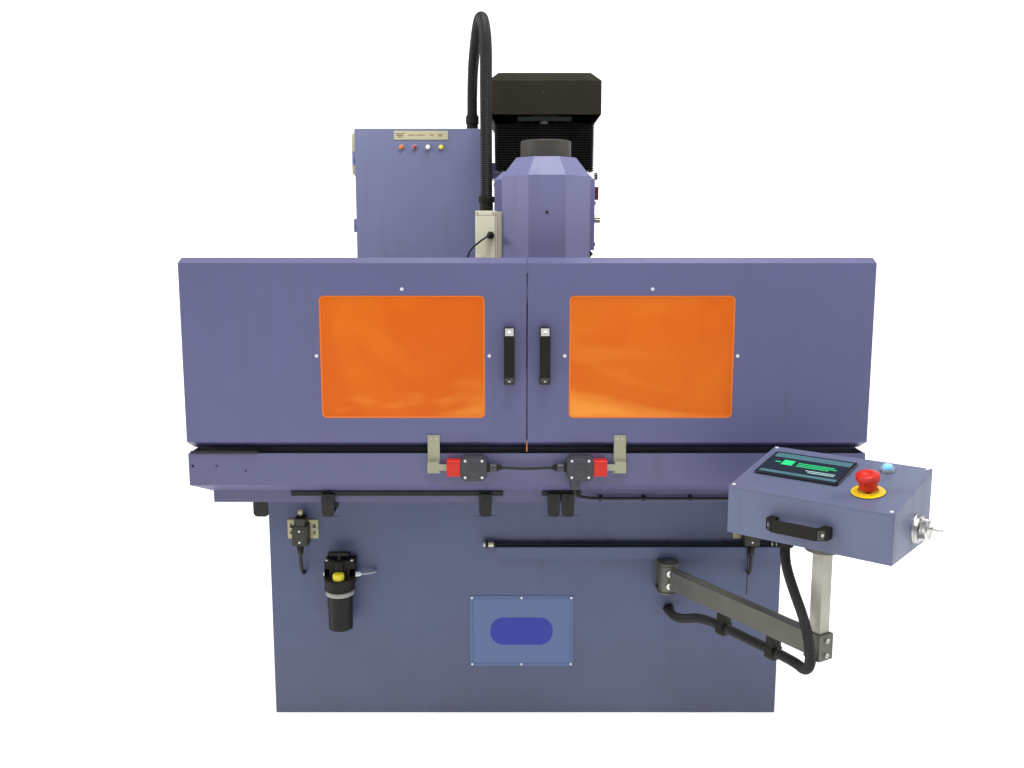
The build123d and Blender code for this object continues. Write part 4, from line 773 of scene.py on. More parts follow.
def rounded(width, height, radius, steps=6):
    """The outline of a rectangle with round corners, anticlockwise, about its centre."""
    points = []
    for sx, sy, start in ((1, 1, 0), (-1, 1, 90), (-1, -1, 180), (1, -1, 270)):
        for i in range(steps + 1):
            a = math.radians(start + 90 * i / steps)
            points.append((sx * (width / 2 - radius) + radius * math.cos(a),
                           sy * (height / 2 - radius) + radius * math.sin(a)))
    return points


def border(name, body, place, outer, inner, thick, finish, slot=None):
    """A flat frame between two outlines of as many points each, on a place's XY plane."""
    build = Build(place)
    loops = []
    for outline, z in ((outer, 0), (outer, thick), (inner, thick), (inner, 0)):
        loops.append([build.bm.verts.new(place @ Vector((x, y, z))) for x, y in outline])
    for a, b in zip(loops, loops[1:] + loops[:1]):
        for i in range(len(a)):
            j = (i + 1) % len(a)
            build.bm.faces.new([a[i], a[j], b[j], b[i]])
    return build.piece(name, finish, body, slot)


# ---------------------------------------------------------------- places that pieces share
# The spindle's axis, the arm on its pivot, the control box on its post, and the box's sloped panel
# from its lower left corner.
HEAD = mm(55, -208, 0)
ARM = Matrix.Translation(mm(377, -450, 410)) @ turned(-58.7, "Z")
BOX = Matrix.Translation(mm(638.32, -879.79, 639)) @ turned(-39.8, "Z")
PANEL_SLOPE = Matrix.Rotation(math.atan2(50, 240), 4, "X")
PANEL = BOX @ Matrix.Translation(mm(-204.6, -48, 108)) @ PANEL_SLOPE
CLIP_ENDS = (211, 374)
CONDUIT_DROP = -64
CONDUIT_RIB = (1.5 * MM, 4 * MM)


def bolt_circle(radius, height, first, count):
    """Evenly spaced places round the spindle's axis, from a first angle in degrees."""
    angles = [math.radians(first + 360 / count * i) for i in range(count)]
    return [HEAD + mm(radius * math.cos(a), radius * math.sin(a), height) for a in angles]


# ---------------------------------------------------------------- cords


def power_hose():
    """The corrugated hose from the cabinet to the junction box."""
    route = [(-0.164, 0.263, 1.6905), (-0.164, 0.263, 1.795), (-0.15, 0.181, 1.898),
             (-0.134, 0.053, 1.94), (-0.118, -0.082, 1.912), (-0.107, -0.179, 1.82),
             (-0.108, -0.209, 1.68), (-0.107, -0.208, 1.54), (-0.107, -0.208, 1.4105)]
    radius = 17 * MM
    skin, path = hose("power_hose_skin", route, radius, hose_rubber, rib=(1.8 * MM, 5 * MM),
                      sides=28)
    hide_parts("power_hose")
    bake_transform(skin)


def pendant_conduit():
    """The conduit from the base, along the arm, and up under the post into the control box."""
    radius = 12 * MM
    first, last = [ARM @ mm(along, 0, CONDUIT_DROP) for along in CLIP_ENDS]
    lower = [(0.389, -0.4, 0.302), (0.389, -0.448, 0.302), (0.407, -0.502, 0.314),
             (0.4487, -0.5679, 0.346), first]
    skin, path = hose("conduit_from_base", lower, radius, hose_rubber, CONDUIT_RIB, sides=24)
    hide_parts("conduit_lower")
    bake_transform(skin)

    held, path = hose("conduit_on_arm", [first, (first + last) / 2, last], radius, hose_rubber,
                      CONDUIT_RIB, sides=24)
    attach(held, "arm")

    upper = [last, (0.6056, -0.826, 0.346), (0.6119, -0.8865, 0.35), (0.6122, -0.9214, 0.392),
             (0.5992, -0.9117, 0.47), (0.5785, -0.8623, 0.542), (0.5714, -0.8279, 0.587),
             (0.5714, -0.8279, 0.6185)]
    skin, path = hose("conduit_to_box", upper, radius, hose_rubber, CONDUIT_RIB, sides=24)
    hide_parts("conduit_upper")
    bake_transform(skin)


def probe_lead():
    """The thin sensor lead that hangs from the junction box's front gland to the wheel guard."""
    route = [(-0.095, -0.2773, 1.307), (-0.095, -0.293, 1.307), (-0.117, -0.307, 1.295),
             (-0.155, -0.303, 1.263), (-0.157, -0.283, 1.223), (-0.108, -0.262, 1.211),
             (-0.092, -0.262, 1.206), (-0.092, -0.262, 1.196)]
    radius = 2.5 * MM
    skin, path = hose("probe_lead_skin", route, radius, cable_rubber, sides=12)
    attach(skin, "head")
    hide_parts("probe_lead")


power_hose()
pendant_conduit()
probe_lead()


# ---------------------------------------------------------------- base and what is fixed to it
def base_shell():
    """The base, its ways and bumpers, and the trim with the name plate's ground."""
    dress("base_cabinet", base_enamel, 2.5 * MM)
    dress("guideways", ground_steel, 0.6 * MM)
    dress("end_bumpers", bumper_rubber, 1.5 * MM)
    dress("base_trim", pick=lambda low,
          high: (name_blue, 0.4 * MM) if high.z < 0.4 else (base_enamel, 0.8 * MM))


def name_plate_print():
    """The plate's engraved border, its plain printed field and its fixings. It carries no words."""
    x, y, z = -11, -401.5, 238
    face = on_front(x, y, z)
    raised = 0.3 * MM
    border("name_plate_border", "base", face, rounded(0.268, 0.188, 0.006),
           rounded(0.264, 0.184, 0.005), raised, name_line, "base_paint")
    field = Build(face)
    field.prism((0, 0, 0), UP, RIGHT, rounded(0.17, 0.078, 0.036, 12), raised)
    field.piece("name_plate_field", name_field, "base", "base_paint")
    spots = [mm(x + dx, y, z + dz) for dx in (-135, 0, 135) for dz in (-95, 95)]
    screws("name_plate_screws", "base", spots, 3 * MM, 1.6 * MM, bright_steel)


def rear_access(name, body, centre, turn, size, louvres, finish):
    """A screwed sheet cover with pressed louvres, on the wall behind it."""
    width, height = size
    thick = 1.6 * MM
    reach_x, reach_y = width / 2 - 0.018, height / 2 - 0.018
    pitch = 0.022
    long = width * 0.6
    section = [(0.0009, 0.0005), (0.0009, 0.0095), (0, 0.010), (0, 0)]
    slot = slot_of("base_cabinet")
    place = Matrix.Translation(centre) @ turned(turn, "Z") @ turned(90, "X")
    cover = Build(place)
    cover.prism((0, 0, 0), UP, RIGHT, rounded(width, height, 0.012), thick)
    cover.piece(f"{name}_cover", finish, body, slot, edge=0.6 * MM)
    spots = [place @ Vector((sx * reach_x, sy * reach_y, thick))
             for sx in (-1, 0, 1) for sy in (-1, 1)]
    screws(f"{name}_screws", body, spots, 5 * MM, 0.8 * MM, zinc, place.to_3x3() @ UP, sides=20)
    for i in range(louvres):
        lip = Build(place)
        lip.prism((-long / 2, (i - (louvres - 1) / 2) * pitch, thick - 0.2 * MM), RIGHT, UP,
                  section, long)
        lip.piece(f"{name}_louvre_{i + 1}", finish, body, slot)


def trip_switch(side):
    """A limit switch's lid and screws, slot bolts, gland and plunger boot."""
    x = side * 598
    lid_y, lid_z = -448, 519
    plate_y, slot_z, slot_reach = -404, 527, 31
    name = side_name(side)
    lid = Build()
    lid.prism(mm(x, lid_y, lid_z), FORWARD, RIGHT, rounded(0.030, 0.042, 0.004), 1.2 * MM)
    lid.piece(f"{name}_limit_lid", switch_black, "base", "switch_beige", edge=0.4 * MM)
    spots = [mm(x, lid_y - 1.2, lid_z + dz) for dz in (15, -15)]
    screws(f"{name}_limit_screws", "base", spots, 2.6 * MM, 1.2 * MM, bright_steel)
    spots = [mm(x + dx, plate_y, slot_z) for dx in (-slot_reach, slot_reach)]
    screws(f"{name}_slot_bolts", "base", spots, 5 * MM, 4 * MM, zinc, socket=0.5, sides=6)
    gland = Build()
    gland.lathe(mm(x, -440, 471), UP, [(0, 0.0052), (0.002, 0.008), (0.012, 0.008), (0.012, 0.0092),
                                       (0.02, 0.0092), (0.02, 0.0075), (0.024, 0.0075)], sides=6)
    gland.piece(f"{name}_limit_gland", nylon_black, "base", "switch_beige", edge=0.3 * MM)
    boot = Build()
    boot.lathe(mm(x, -426, 566.8), UP,
               [(0, 0.0108), (0.004, 0.0104), (0.0055, 0.0082), (0.0055, 0)], sides=32)
    boot.piece(f"{name}_plunger_boot", nylon_black, "base", "switch_beige")


def base_fittings():
    """The limit switches, and the pipe, leads and tube along the front."""
    def switch_look(low, high):
        is_plate = high.y - low.y < 0.006
        return (brass_beige, 0.4 * MM) if is_plate else (switch_black, 1.2 * MM)

    def line_look(low, high):
        left_lead = high.x < -0.58
        right_lead = 0.58 < low.x < 0.62 and high.z < 0.475
        lubricant_tube = high.x < -0.35
        long_lead = high.x - low.x > 0.5
        if left_lead or right_lead:
            return cable_rubber, 0
        if lubricant_tube:
            return tube_grey, 0
        return (cable_rubber, 0) if long_lead else (zinc, 0.5 * MM)

    dress("limit_switches", pick=switch_look)
    for side in (-1, 1):
        dress(f"{side_name(side)}_plunger", brass_beige, 0.4 * MM)
    trip_switch(-1)
    trip_switch(1)
    dress("service_lines", pick=line_look)
    pipe_y, pipe_z = -414, 488.3
    collars = Build()
    for x in (-86, -108, 660, 676):
        collars.lathe(mm(x, pipe_y, pipe_z), RIGHT, [(0, 0.006), (0, 0.0092), (0.001, 0.0098),
                                                     (0.007, 0.0098), (0.008, 0.0092),
                                                     (0.008, 0.006)], sides=6)
    collars.piece("pipe_nuts", nylon_black, "base", "hose_black", edge=0.3 * MM)
    clips = Build()
    section = [(-0.006, 0.0), (0.006, 0.0), (0.006, -0.0065), (0.0045, -0.0092), (-0.0045, -0.0092),
               (-0.006, -0.0065)]
    for x in (60, 220, 380, 540):
        clips.prism(mm(x - 5, pipe_y, 484), RIGHT, FORWARD, section, 10 * MM)
    clips.piece("pipe_clips", nylon_black, "base", "hose_black", edge=0.4 * MM)
    tail = Build()
    wide, thick = 0.0028, 0.0011
    tail.prism(mm(590.6, -429.2, 352), UP, RIGHT, [(0, 0), (wide, 0), (wide, thick), (0, thick)],
               0.135)
    tail.piece("tie_tail", cable_rubber, "base", "hose_black")


def lubricator():
    """The hand pump's details: filler knob, collar, rings, fittings and the yellow caps."""
    def pump_look(low, high):
        return (nylon_black, 1.5 * MM) if high.z > 0.4 else (smoke_cup, 0.8 * MM)

    dress("lubricator_body", pick=pump_look)
    dress("lubricator_handle", nylon_black, 1.2 * MM)
    x, y = -495, -445
    port_y, port_z = -430, 411
    knob = Build()
    knob.lathe(mm(x, y - 18, 405.5), UP, [(0, 0.012), (0.002, 0.0148), (0.008, 0.0152),
                                          (0.015, 0.0150), (0.018, 0.0128), (0.0192, 0.008),
                                          (0.0195, 0)])
    knob.piece("oil_filler_knob", oil_yellow, "base", "pump_plastic")
    cap = Build()
    cap.lathe(mm(-533, y - 4, 398), RIGHT, [(0, 0), (0, 0.004), (0.001, 0.0052), (0.012, 0.0052),
                                            (0.014, 0.0066), (0.022, 0.0066)], sides=24)
    cap.piece("oil_outlet_cap", oil_yellow, "base", "pump_plastic")
    ring = Build()
    ring.lathe(mm(x, y, 361.5), UP, [(0, 0.0352), (0, 0.0365), (0.001, 0.0372), (0.011, 0.0372),
                                     (0.012, 0.0365), (0.012, 0.0352)], sides=64)
    ring.piece("reservoir_ring", ring_grey, "base", "pump_plastic")
    rim = Build()
    for z in (376.5, 400.5):
        rim.lathe(mm(x, y, z), UP, [(0, 0.0394), (0, 0.0403), (0.004, 0.0403), (0.004, 0.0394)],
                  sides=64)
    rim.piece("pump_flange_beads", nylon_black, "base", "pump_plastic")
    fitting = Build()
    fitting.lathe(mm(-456, port_y, port_z), RIGHT, [(0, 0.0075), (0.006, 0.0075), (0.006, 0.0062),
                                                    (0.013, 0.0062), (0.014, 0.0048),
                                                    (0.016, 0.0034)], sides=6)
    fitting.piece("lubricant_fitting", white_nylon, "base", "pump_plastic", edge=0.3 * MM)
    stub = Build()
    stub.lathe(mm(-541, port_y, port_z), RIGHT,
               [(0, 0), (0, 0.0036), (0.002, 0.0048), (0.007, 0.0048)], sides=20)
    stub.piece("blanking_plug", white_nylon, "base", "pump_plastic")
    screws("pump_screws", "base", [mm(x + dx, y, 453) for dx in (-33, 33)], 4.2 * MM, 3.4 * MM,
           zinc, facing=UP)


base_shell()
name_plate_print()
base_fittings()
lubricator()
rear_access("rear_access", "base", mm(0, 400.2, 300), 180, (0.62, 0.40), 8, base_enamel)
rear_access("left_access", "base", mm(-690.2, 40, 300), -90, (0.46, 0.36), 5, base_enamel)
rear_access("right_access", "base", mm(690.2, 40, 300), 90, (0.46, 0.36), 5, base_enamel)


# ---------------------------------------------------------------- column, cabinet and covers
def column_and_covers():
    """The column with its cover and screws, and the bellows."""
    x = 60
    dress("column", body_enamel, 2 * MM)
    dress("top_cover", wrinkle_black, 1.2 * MM)
    upper = copies("bellows_upper", bellows_cloth, 0, None)
    lower = copies("bellows_lower", bellows_cloth, 0, None)
    for piece in upper:
        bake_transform(piece)
    for piece in lower:
        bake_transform(piece)
    screws("top_cover_screw", "base", [mm(56, 30, 1726)], 3 * MM, 1.2 * MM, cap_grey)
    spots = [mm(x + dx, 385, z) for dx in (-150, 0, 150) for z in (1672, 1748)]
    screws("top_cover_rear_screws", "base", spots, 3.5 * MM, 1.6 * MM, zinc, facing=BACK)
    rear_access("column_rear", "base", mm(x, 360.2, 1120), 180, (0.19, 0.72), 10, body_enamel)
    spots = [mm(x + dx, y, 635) for y in (380, 340) for dx in (-145, 145)]
    screws("column_bolts", "base", spots, 11 * MM, 9 * MM, zinc, facing=UP, sides=6, socket=0.3)


def cabinet():
    """The electrical cabinet, and its door's lamps, label and lock."""
    def case_look(low, high):
        size = high - low
        if size.x > 0.3:
            return cabinet_enamel_painted_light, 1.2 * MM
        if high.x < -0.53 and size.z > 0.1:
            return cream_vent, 0.8 * MM
        if high.x > -0.14 and high.z < 1.645 and size.x > 0.05:
            return body_enamel, 1.5 * MM
        return (nylon_black, 0.8 * MM) if high.z > 1.65 else (cabinet_enamel_painted_light, 0.4 * MM)

    def door_look(low, high):
        size = high - low
        if size.x > 0.3:
            return cabinet_enamel_painted_light, 1.2 * MM
        if size.x > 0.1:
            return label_cream, 0.3 * MM
        return (cabinet_enamel_painted_light if high.x < -0.52 else zinc), 0.4 * MM

    dress("cabinet_case", pick=case_look)
    dress("cabinet_door", pick=door_look)
    paint(module_grey, "cabinet_internals")
    lenses = (("amber", lamp_amber), ("red", lamp_red), ("white", lamp_white),
              ("yellow", lamp_yellow))
    first_lamp, lamp_pitch = -383.5, 41.5
    section = [(0, 0.0066), (0.001, 0.0066), (0.003, 0.0060), (0.0046, 0.0045), (0.0055, 0.0022),
               (0.0058, 0)]
    for i, (tone, lens) in enumerate(lenses):
        dome = Build()
        dome.lathe(mm(first_lamp + lamp_pitch * i, 188, 1583), FORWARD, section, sides=28)
        dome.piece(f"{tone}_lamp", lens, "cabinet_door", slot_of("cabinet_door"))
    print_marks = Build()
    half_tall, label_y = 1.1, 191.3
    for x, wide, z in ((-388, 28, 1624), (-388, 22, 1619), (-388, 16, 1614), (-352, 22, 1620),
                       (-322, 26, 1620), (-288, 14, 1620), (-262, 14, 1621), (-262, 10, 1617)):
        print_marks.box(mm(x - wide / 2, label_y, z - half_tall),
                        mm(x + wide / 2, 191.55, z + half_tall))
    print_marks.piece("door_label_marks", label_ink, "cabinet_door", slot_of("cabinet_door"))
    lock = Build()
    lock.lathe(mm(-131, 202, 1350), RIGHT, [(0, 0.011), (0.001, 0.0115), (0.004, 0.0115),
                                            (0.005, 0.010), (0.005, 0.004), (0.002, 0.004),
                                            (0.002, 0)], sides=36)
    lock.piece("cabinet_lock", zinc, "cabinet_door", "bright_steel")
    spots = [mm(-98 + dx, 352, z) for dx in (-18, 18) for z in (1145, 1515)]
    screws("bracket_bolts", "base", spots, 6 * MM, 4 * MM, zinc, facing=BACK, sides=6)
    ring = Build()
    for z in (1662, 1672, 1682):
        ring.lathe(mm(-164, 263, z), UP,
                   [(0, 0.0204), (0, 0.0212), (0.003, 0.0212), (0.003, 0.0204)], sides=48)
    ring.piece("cabinet_fitting_ribs", nylon_black, "base", "hose_black")
    seam = Build()
    seam.box(mm(-500, 230, 1640), mm(-200, 232, 1640.6))
    seam.piece("cabinet_top_seam", bezel_black, "base", slot_of("cabinet_case"))


column_and_covers()
cabinet()


# ---------------------------------------------------------------- head and spindle
def head():
    """The carriage, spindle housing, guard and junction box, and what is fixed to them."""
    def carriage_look(low, high):
        if high.x - low.x > 0.1:
            return body_enamel, 1.8 * MM
        return (dark_red, 0.8 * MM) if high.z < 1.46 else (bezel_black, 0.8 * MM)

    def housing_look(low, high):
        return (cap_grey, 1 * MM) if low.z > 1.5 else (body_enamel, 1.2 * MM)

    def junction_look(low, high):
        if high.z > 1.38:
            return nylon_black, 0.8 * MM
        if high.y < -0.26 and high.x - low.x < 0.03:
            return nylon_black, 0.6 * MM
        return (beige, 1.2 * MM) if high.x < -0.07 else (beige_shade, 0.8 * MM)

    dress("head_carriage", pick=carriage_look)
    dress("spindle_housing", pick=housing_look)
    dress("wheel_guard", body_enamel, 0.8 * MM)
    dress("junction_box", pick=junction_look)
    dress("clamp_knob", zinc, 0.5 * MM)
    dress("spindle_shaft", ground_steel, 0.8 * MM)
    dress("grinding_wheel", stone, 0.6 * MM)
    paint(motor_paint, "spindle_motor", "table_gearmotor")
    paint(bezel_black, "feed_motor")
    paint(ground_steel, "feed_screw")

    plug = Build()
    plug.lathe(HEAD + mm(0, -119, 1366), FORWARD,
               [(0, 0.0042), (0.0004, 0.0042), (0.0006, 0.0034), (0.0002, 0.003), (0.0002, 0)],
               sides=24)
    plug.piece("housing_plug", bezel_black, "head", "panel_paint")
    rim = Build()
    rim.lathe(HEAD + mm(0, 0, 1516), UP,
              [(0, 0.0688), (0, 0.0702), (0.003, 0.0702), (0.004, 0.0692), (0.004, 0.0688)],
              sides=96)
    rim.lathe(HEAD + mm(0, 0, 1560), UP, [(-0.001, 0), (-0.001, 0.054), (0.0008, 0.056),
                                          (0.0012, 0.054), (0.0012, 0.050), (-0.0004, 0.048),
                                          (-0.0004, 0)], sides=96)
    rim.piece("cap_rings", cap_grey, "head", "panel_paint")
    screws("cap_screws", "head", bolt_circle(46, 1559.6, 30, 6), 3.5 * MM, 2 * MM, zinc, facing=UP)
    screws("guard_screws", "head", bolt_circle(178, 1196, 22.5, 8), 4 * MM, 2.4 * MM, zinc,
           facing=UP)

    lid = Build()
    lid.box(mm(-83, -263.8, 1223), mm(-81.6, -153, 1371))
    lid.box(mm(-136.6, -263.3, 1360), mm(-78, -262.9, 1361))
    lid.piece("junction_lid_seam", label_ink, "head", "switch_beige")
    box_front, gland_x, gland_z = -263, -95, 1307
    spots = [mm(x, box_front, z) for x in (-131, -88) for z in (1366, 1228)]
    screws("junction_lid_screws", "head", spots, 2.6 * MM, 1.4 * MM, zinc)
    nut = Build()
    nut.lathe(mm(gland_x, box_front, gland_z), FORWARD,
              [(0, 0.0108), (0.004, 0.0108), (0.0045, 0.010)], sides=6)
    nut.lathe(mm(gland_x, -276.6, gland_z), FORWARD,
              [(0, 0.0092), (0.003, 0.0088), (0.006, 0.0062), (0.0095, 0.0038)], sides=28)
    nut.piece("junction_gland_nut", nylon_black, "head", "switch_beige")
    hose_x, hose_y = -107, -208
    collar = Build()
    for z in (1374, 1381, 1388):
        collar.lathe(mm(hose_x, hose_y, z), UP,
                     [(0, 0.0174), (0, 0.0186), (0.0035, 0.0186), (0.0035, 0.0174)], sides=48)
    collar.lathe(mm(hose_x, hose_y, 1396), UP, [(0, 0.0174), (0, 0.0212), (0.001, 0.0218),
                                                (0.015, 0.0218), (0.016, 0.021), (0.016, 0.0174)],
                 sides=48)
    collar.piece("junction_fitting_collar", nylon_black, "head", "hose_black")
    stops = Build()
    for z, reach in ((1478, 5), (1404, 4), (1282, 4)):
        stops.lathe(mm(210, 30, z), RIGHT,
                    [(0, 0.006), (reach * 0.7 * MM, 0.006), (reach * MM, 0.004), (reach * MM, 0)],
                    sides=24)
    stops.piece("carriage_plugs", bezel_black, "head", "cover_black")
    for name, x, facing in (("gib_screws", 210, RIGHT), ("gib_screws_left", -90, LEFT)):
        spots = [mm(x, y, z) for y in (60, 80) for z in (1300, 1380, 1460)]
        screws(name, "head", spots, 5 * MM, 3 * MM, zinc, facing=facing)


head()


# ---------------------------------------------------------------- table, tray and interlocks
def interlock(side):
    """One safety switch's lid with its white screws, its gland nut and the ribs on its red head."""
    centre = 132
    x, z = side * centre, 733
    name = side_name(side)
    body_front, lid_thick, gland_y = -574, 3, -557
    lid_front = body_front - lid_thick
    w, h, c = 0.030, 0.028, 0.009
    outline = [(w, -h + c), (w, h - c), (w - c, h), (-w + c, h), (-w, h - c), (-w, -h + c),
               (-w + c, -h), (w - c, -h)]
    lid = Build()
    lid.prism(mm(x, body_front, z), FORWARD, RIGHT, outline, lid_thick * MM)
    lid.piece(f"{name}_interlock_lid", switch_dark, "table", "switch_grey", edge=0.8 * MM)
    boss = Build()
    boss.lathe(mm(x, lid_front, z), FORWARD,
               [(0, 0.0165), (0.0008, 0.016), (0.0012, 0.0145), (0.0002, 0.0135), (0.0002, 0)],
               sides=40)
    boss.box(mm(x - 9, lid_front - 1, z - 2), mm(x + 9, lid_front, z + 2))
    boss.piece(f"{name}_interlock_boss", switch_dark, "table", "switch_grey")
    spots = [mm(x + dx, lid_front, z + dz) for dx in (-21, 21) for dz in (-21, 21)]
    screws(f"{name}_interlock_screws", "table", spots, 3.2 * MM, 1.2 * MM, white_nylon)
    nut = Build()
    start = x - side * 33
    nut.lathe(mm(start, gland_y, z), RIGHT * -side,
              [(0, 0.0105), (0, 0.0122), (0.007, 0.0122), (0.008, 0.0112)], sides=6)
    nut.lathe(mm(start - side * 24, gland_y, z), RIGHT * -side,
              [(0, 0.0098), (0.004, 0.009), (0.008, 0.0062), (0.013, 0.0052), (0.013, 0.0041)],
              sides=24)
    nut.piece(f"{name}_interlock_nut", nylon_black, "table", "switch_grey", edge=0.3 * MM)
    ribs = Build()
    outer = side * (centre + 33 + 34)

    def rib(from_x, to_x, low_z, high_z):
        ribs.box(mm(min(from_x, to_x), -573, low_z), mm(max(from_x, to_x), -571.6, high_z))

    for rib_z in (717, 749):
        rib(outer, outer - side * 33, rib_z - 0.8, rib_z + 0.8)
    rib(outer - side * 4, outer - side * 7, 716, 750)
    ribs.piece(f"{name}_head_ribs", signal_red, "table", "switch_red", edge=0.3 * MM)


def table():
    """Everything that slides with the work table, except the doors."""
    def switch_look(low, high):
        is_switch = high.z - low.z > 0.055 and high.x - low.x < 0.12
        return (switch_dark, 1.2 * MM) if is_switch else (cable_rubber, 0)

    def dog_look(low, high):
        is_bar = high.x - low.x > 0.2
        return dog_black, (0.5 if is_bar else 1.2) * MM

    dress("work_table", cast_iron, 1 * MM)
    dress("table_saddle", cast_iron, 1.5 * MM)
    dress("splash_tray", tray_enamel_painted_shade, 0)
    dress("splash_guards", body_enamel, 0)
    dress("door_rails", ground_steel, 0.5 * MM)
    dress("trip_dogs", pick=dog_look)
    dress("interlock_switches", pick=switch_look)
    dress("interlock_heads", signal_red, 0.8 * MM)
    paint(ground_steel, "table_rack", "drive_pinion")
    for side in (-1, 1):
        interlock(side)
    spots = [mm(x, -511, 640) for x in (-508, -105, 70, 106)]
    screws("dog_bolts", "table", spots, 4 * MM, 2 * MM, dog_black, socket=0.5)
    clips = Build()
    section = [(0.001, -0.001), (0.001, 0.0095), (-0.006, 0.0125), (-0.0125, 0.0095),
               (-0.0125, 0.001), (-0.006, -0.0035)]
    for x in (190, 300, 420, 540, 660):
        clips.prism(mm(x - 4, -495, 645), RIGHT, UP, section, 8 * MM)
    clips.piece("lead_clips", nylon_black, "table", "hose_black", edge=0.4 * MM)
    strip = Build()
    strip.prism(mm(-842, -537, 765), RIGHT, FORWARD,
                [(0, 0), (0.006, 0), (0.004, -0.006), (-0.002, -0.006)], 0.17)
    strip.piece("rim_wiper", bumper_rubber, "table", "bellows_rubber", edge=0.4 * MM)
    for name, x, facing in (("guard_bolts", 845, RIGHT), ("guard_bolts_left", -845, LEFT)):
        spots = [mm(x, -440, z) for z in (800, 960, 1120)]
        screws(name, "table", spots, 5 * MM, 2.4 * MM, zinc, facing=facing)
    spots = [mm(x, 17, 885) for x in range(-700, 701, 200)]
    screws("tray_rear_screws", "table", spots, 5 * MM, 2.4 * MM, zinc, facing=BACK)


table()


# ---------------------------------------------------------------- doors
def handle_ends(name, body, half, places):
    """A bridge handle's two end flats, each with its screw. half is a flat's half sizes."""
    thick = 0.5
    flats = Build()
    for place in places:
        flats.at = place
        flats.box(mm(-half[0], -half[1], -0.2), mm(*half, thick))
    flats.piece(f"{name}_handle_ends", bezel_black, body, "handle_black", edge=0.3 * MM)
    for i, place in enumerate(places):
        screws(f"{name}_handle_screw_{i + 1}", body, [place @ mm(0, 0, thick)], 3.6 * MM, 0.8 * MM,
               zinc, place.to_3x3() @ UP)


def door(side):
    """One sliding door's skin, pane, handle, hangers and fixings."""
    name = side_name(side)
    body = f"{name}_door"
    dress(f"{name}_door", door_enamel_painted_shade, 0.7 * MM)
    dress(f"{name}_window", orange_sheet, 0.5 * MM)
    dress(f"{name}_door_handle", nylon_black, 2 * MM)

    def fitting_look(low, high):
        is_key_bracket = high.z < 0.85
        return (bracket_steel if is_key_bracket else zinc), 0.6 * MM

    dress(f"{name}_door_fittings", pick=fitting_look)
    window_slot = slot_of(f"{name}_window")
    border(f"{name}_window_seal", body, on_front(side * 307, -537.9, 1007),
           rounded(0.4056, 0.3036, 0.0118), rounded(0.3986, 0.2966, 0.009), 1.2 * MM, orange_seal,
           window_slot)
    spots = [mm(side * x, -540, z) for x, z in ((306, 1175), (519, 1011), (93, 1011))]
    screws(f"{name}_window_screws", body, spots, 4.2 * MM, 2.6 * MM, white_nylon, socket=0.45)
    handle_x, handle_y, handle_z, reach, lean = side * 43.5, -571, 1012, 60, 42
    ends = [Matrix.Translation(mm(handle_x, handle_y,
                                  handle_z + up * reach)) @ turned(90 - up * lean, "X")
            for up in (-1, 1)]
    handle_ends(name, body, (10.5, 11.5), ends)
    key_x, key_y = side * 232.5, -544.5
    spots = [mm(key_x + dx, key_y, 803) for dx in (-6, 6)]
    screws(f"{name}_key_screws", body, spots, 2.6 * MM, 1.4 * MM, zinc)
    spots = [mm(key_x + dx, key_y, 731) for dx in (-7, 7)]
    screws(f"{name}_key_bolts", body, spots, 3.4 * MM, 2 * MM, white_nylon)


def seal_tip():
    """The orange end of the seal that shows between the closed doors."""
    tip = Build()
    tip.box(mm(-1.4, -540.4, 770), mm(1.4, -538.4, 797))
    tip.piece("door_seal_tip", orange_seal, "left_door", slot_of("left_window"), edge=0.3 * MM)


door(-1)
door(1)
seal_tip()


# ---------------------------------------------------------------- arm and control box
def pendant_arm():
    """The arm with its post, the bracket it turns on, and what holds the conduit."""
    dress("pendant_arm", pick=lambda low, high: (post_steel if high.z > 0.5 else arm_steel, 2 * MM))
    dress("arm_pivot_bracket", arm_steel, 1.2 * MM)
    clips = Build(ARM)
    half = [(0.014, 0.002), (0.014, -0.036), (0.018, -0.040), (0.018, -0.062), (0.011, -0.0685)]
    outline = half + [(-across, down) for across, down in reversed(half)]
    clip_length = 22
    for along in CLIP_ENDS:
        clips.prism(mm(along - clip_length / 2, 0, -14), RIGHT, BACK, outline, clip_length * MM)
    clips = clips.piece("conduit_clips", nylon_black, "arm", "hose_black", edge=1 * MM)
    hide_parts("arm_conduit")
    spots = [mm(377 + dx, -408, z) for dx in (-17, 17) for z in (456.5, 363.5)]
    screws("pivot_bolts", "base", spots, 4 * MM, 3 * MM, zinc, sides=6, socket=0.35)
    spots = [mm(377, -475, z) for z in (427, 393)]
    screws("barrel_bolts", "arm", spots, 8.5 * MM, 4 * MM, bright_steel, socket=0.5)
    along = ARM.to_3x3() @ RIGHT
    screws("socket_bolts", "arm", [ARM @ mm(525, 0, z) for z in (-16, 18)], 6 * MM, 4 * MM, zinc,
           along, sides=6, socket=0.35)
    x, z = 389, 302
    gland = Build()
    gland.lathe(mm(x, -400, z), FORWARD, [(0, 0.0155), (0.003, 0.0155), (0.0036, 0.0148)], sides=6)
    gland.lathe(mm(x, -403, z), FORWARD,
                [(0, 0.0142), (0.006, 0.0142), (0.0075, 0.0134), (0.008, 0.0125)], sides=40)
    gland.piece("conduit_gland", nylon_black, "base", "hose_black")
    studs = [ARM @ mm(along, 0, -86) + mm(0, 0, 5) for along in CLIP_ENDS]
    screws("clip_bolts", "arm", studs, 4 * MM, 3 * MM, zinc, facing=DOWN)


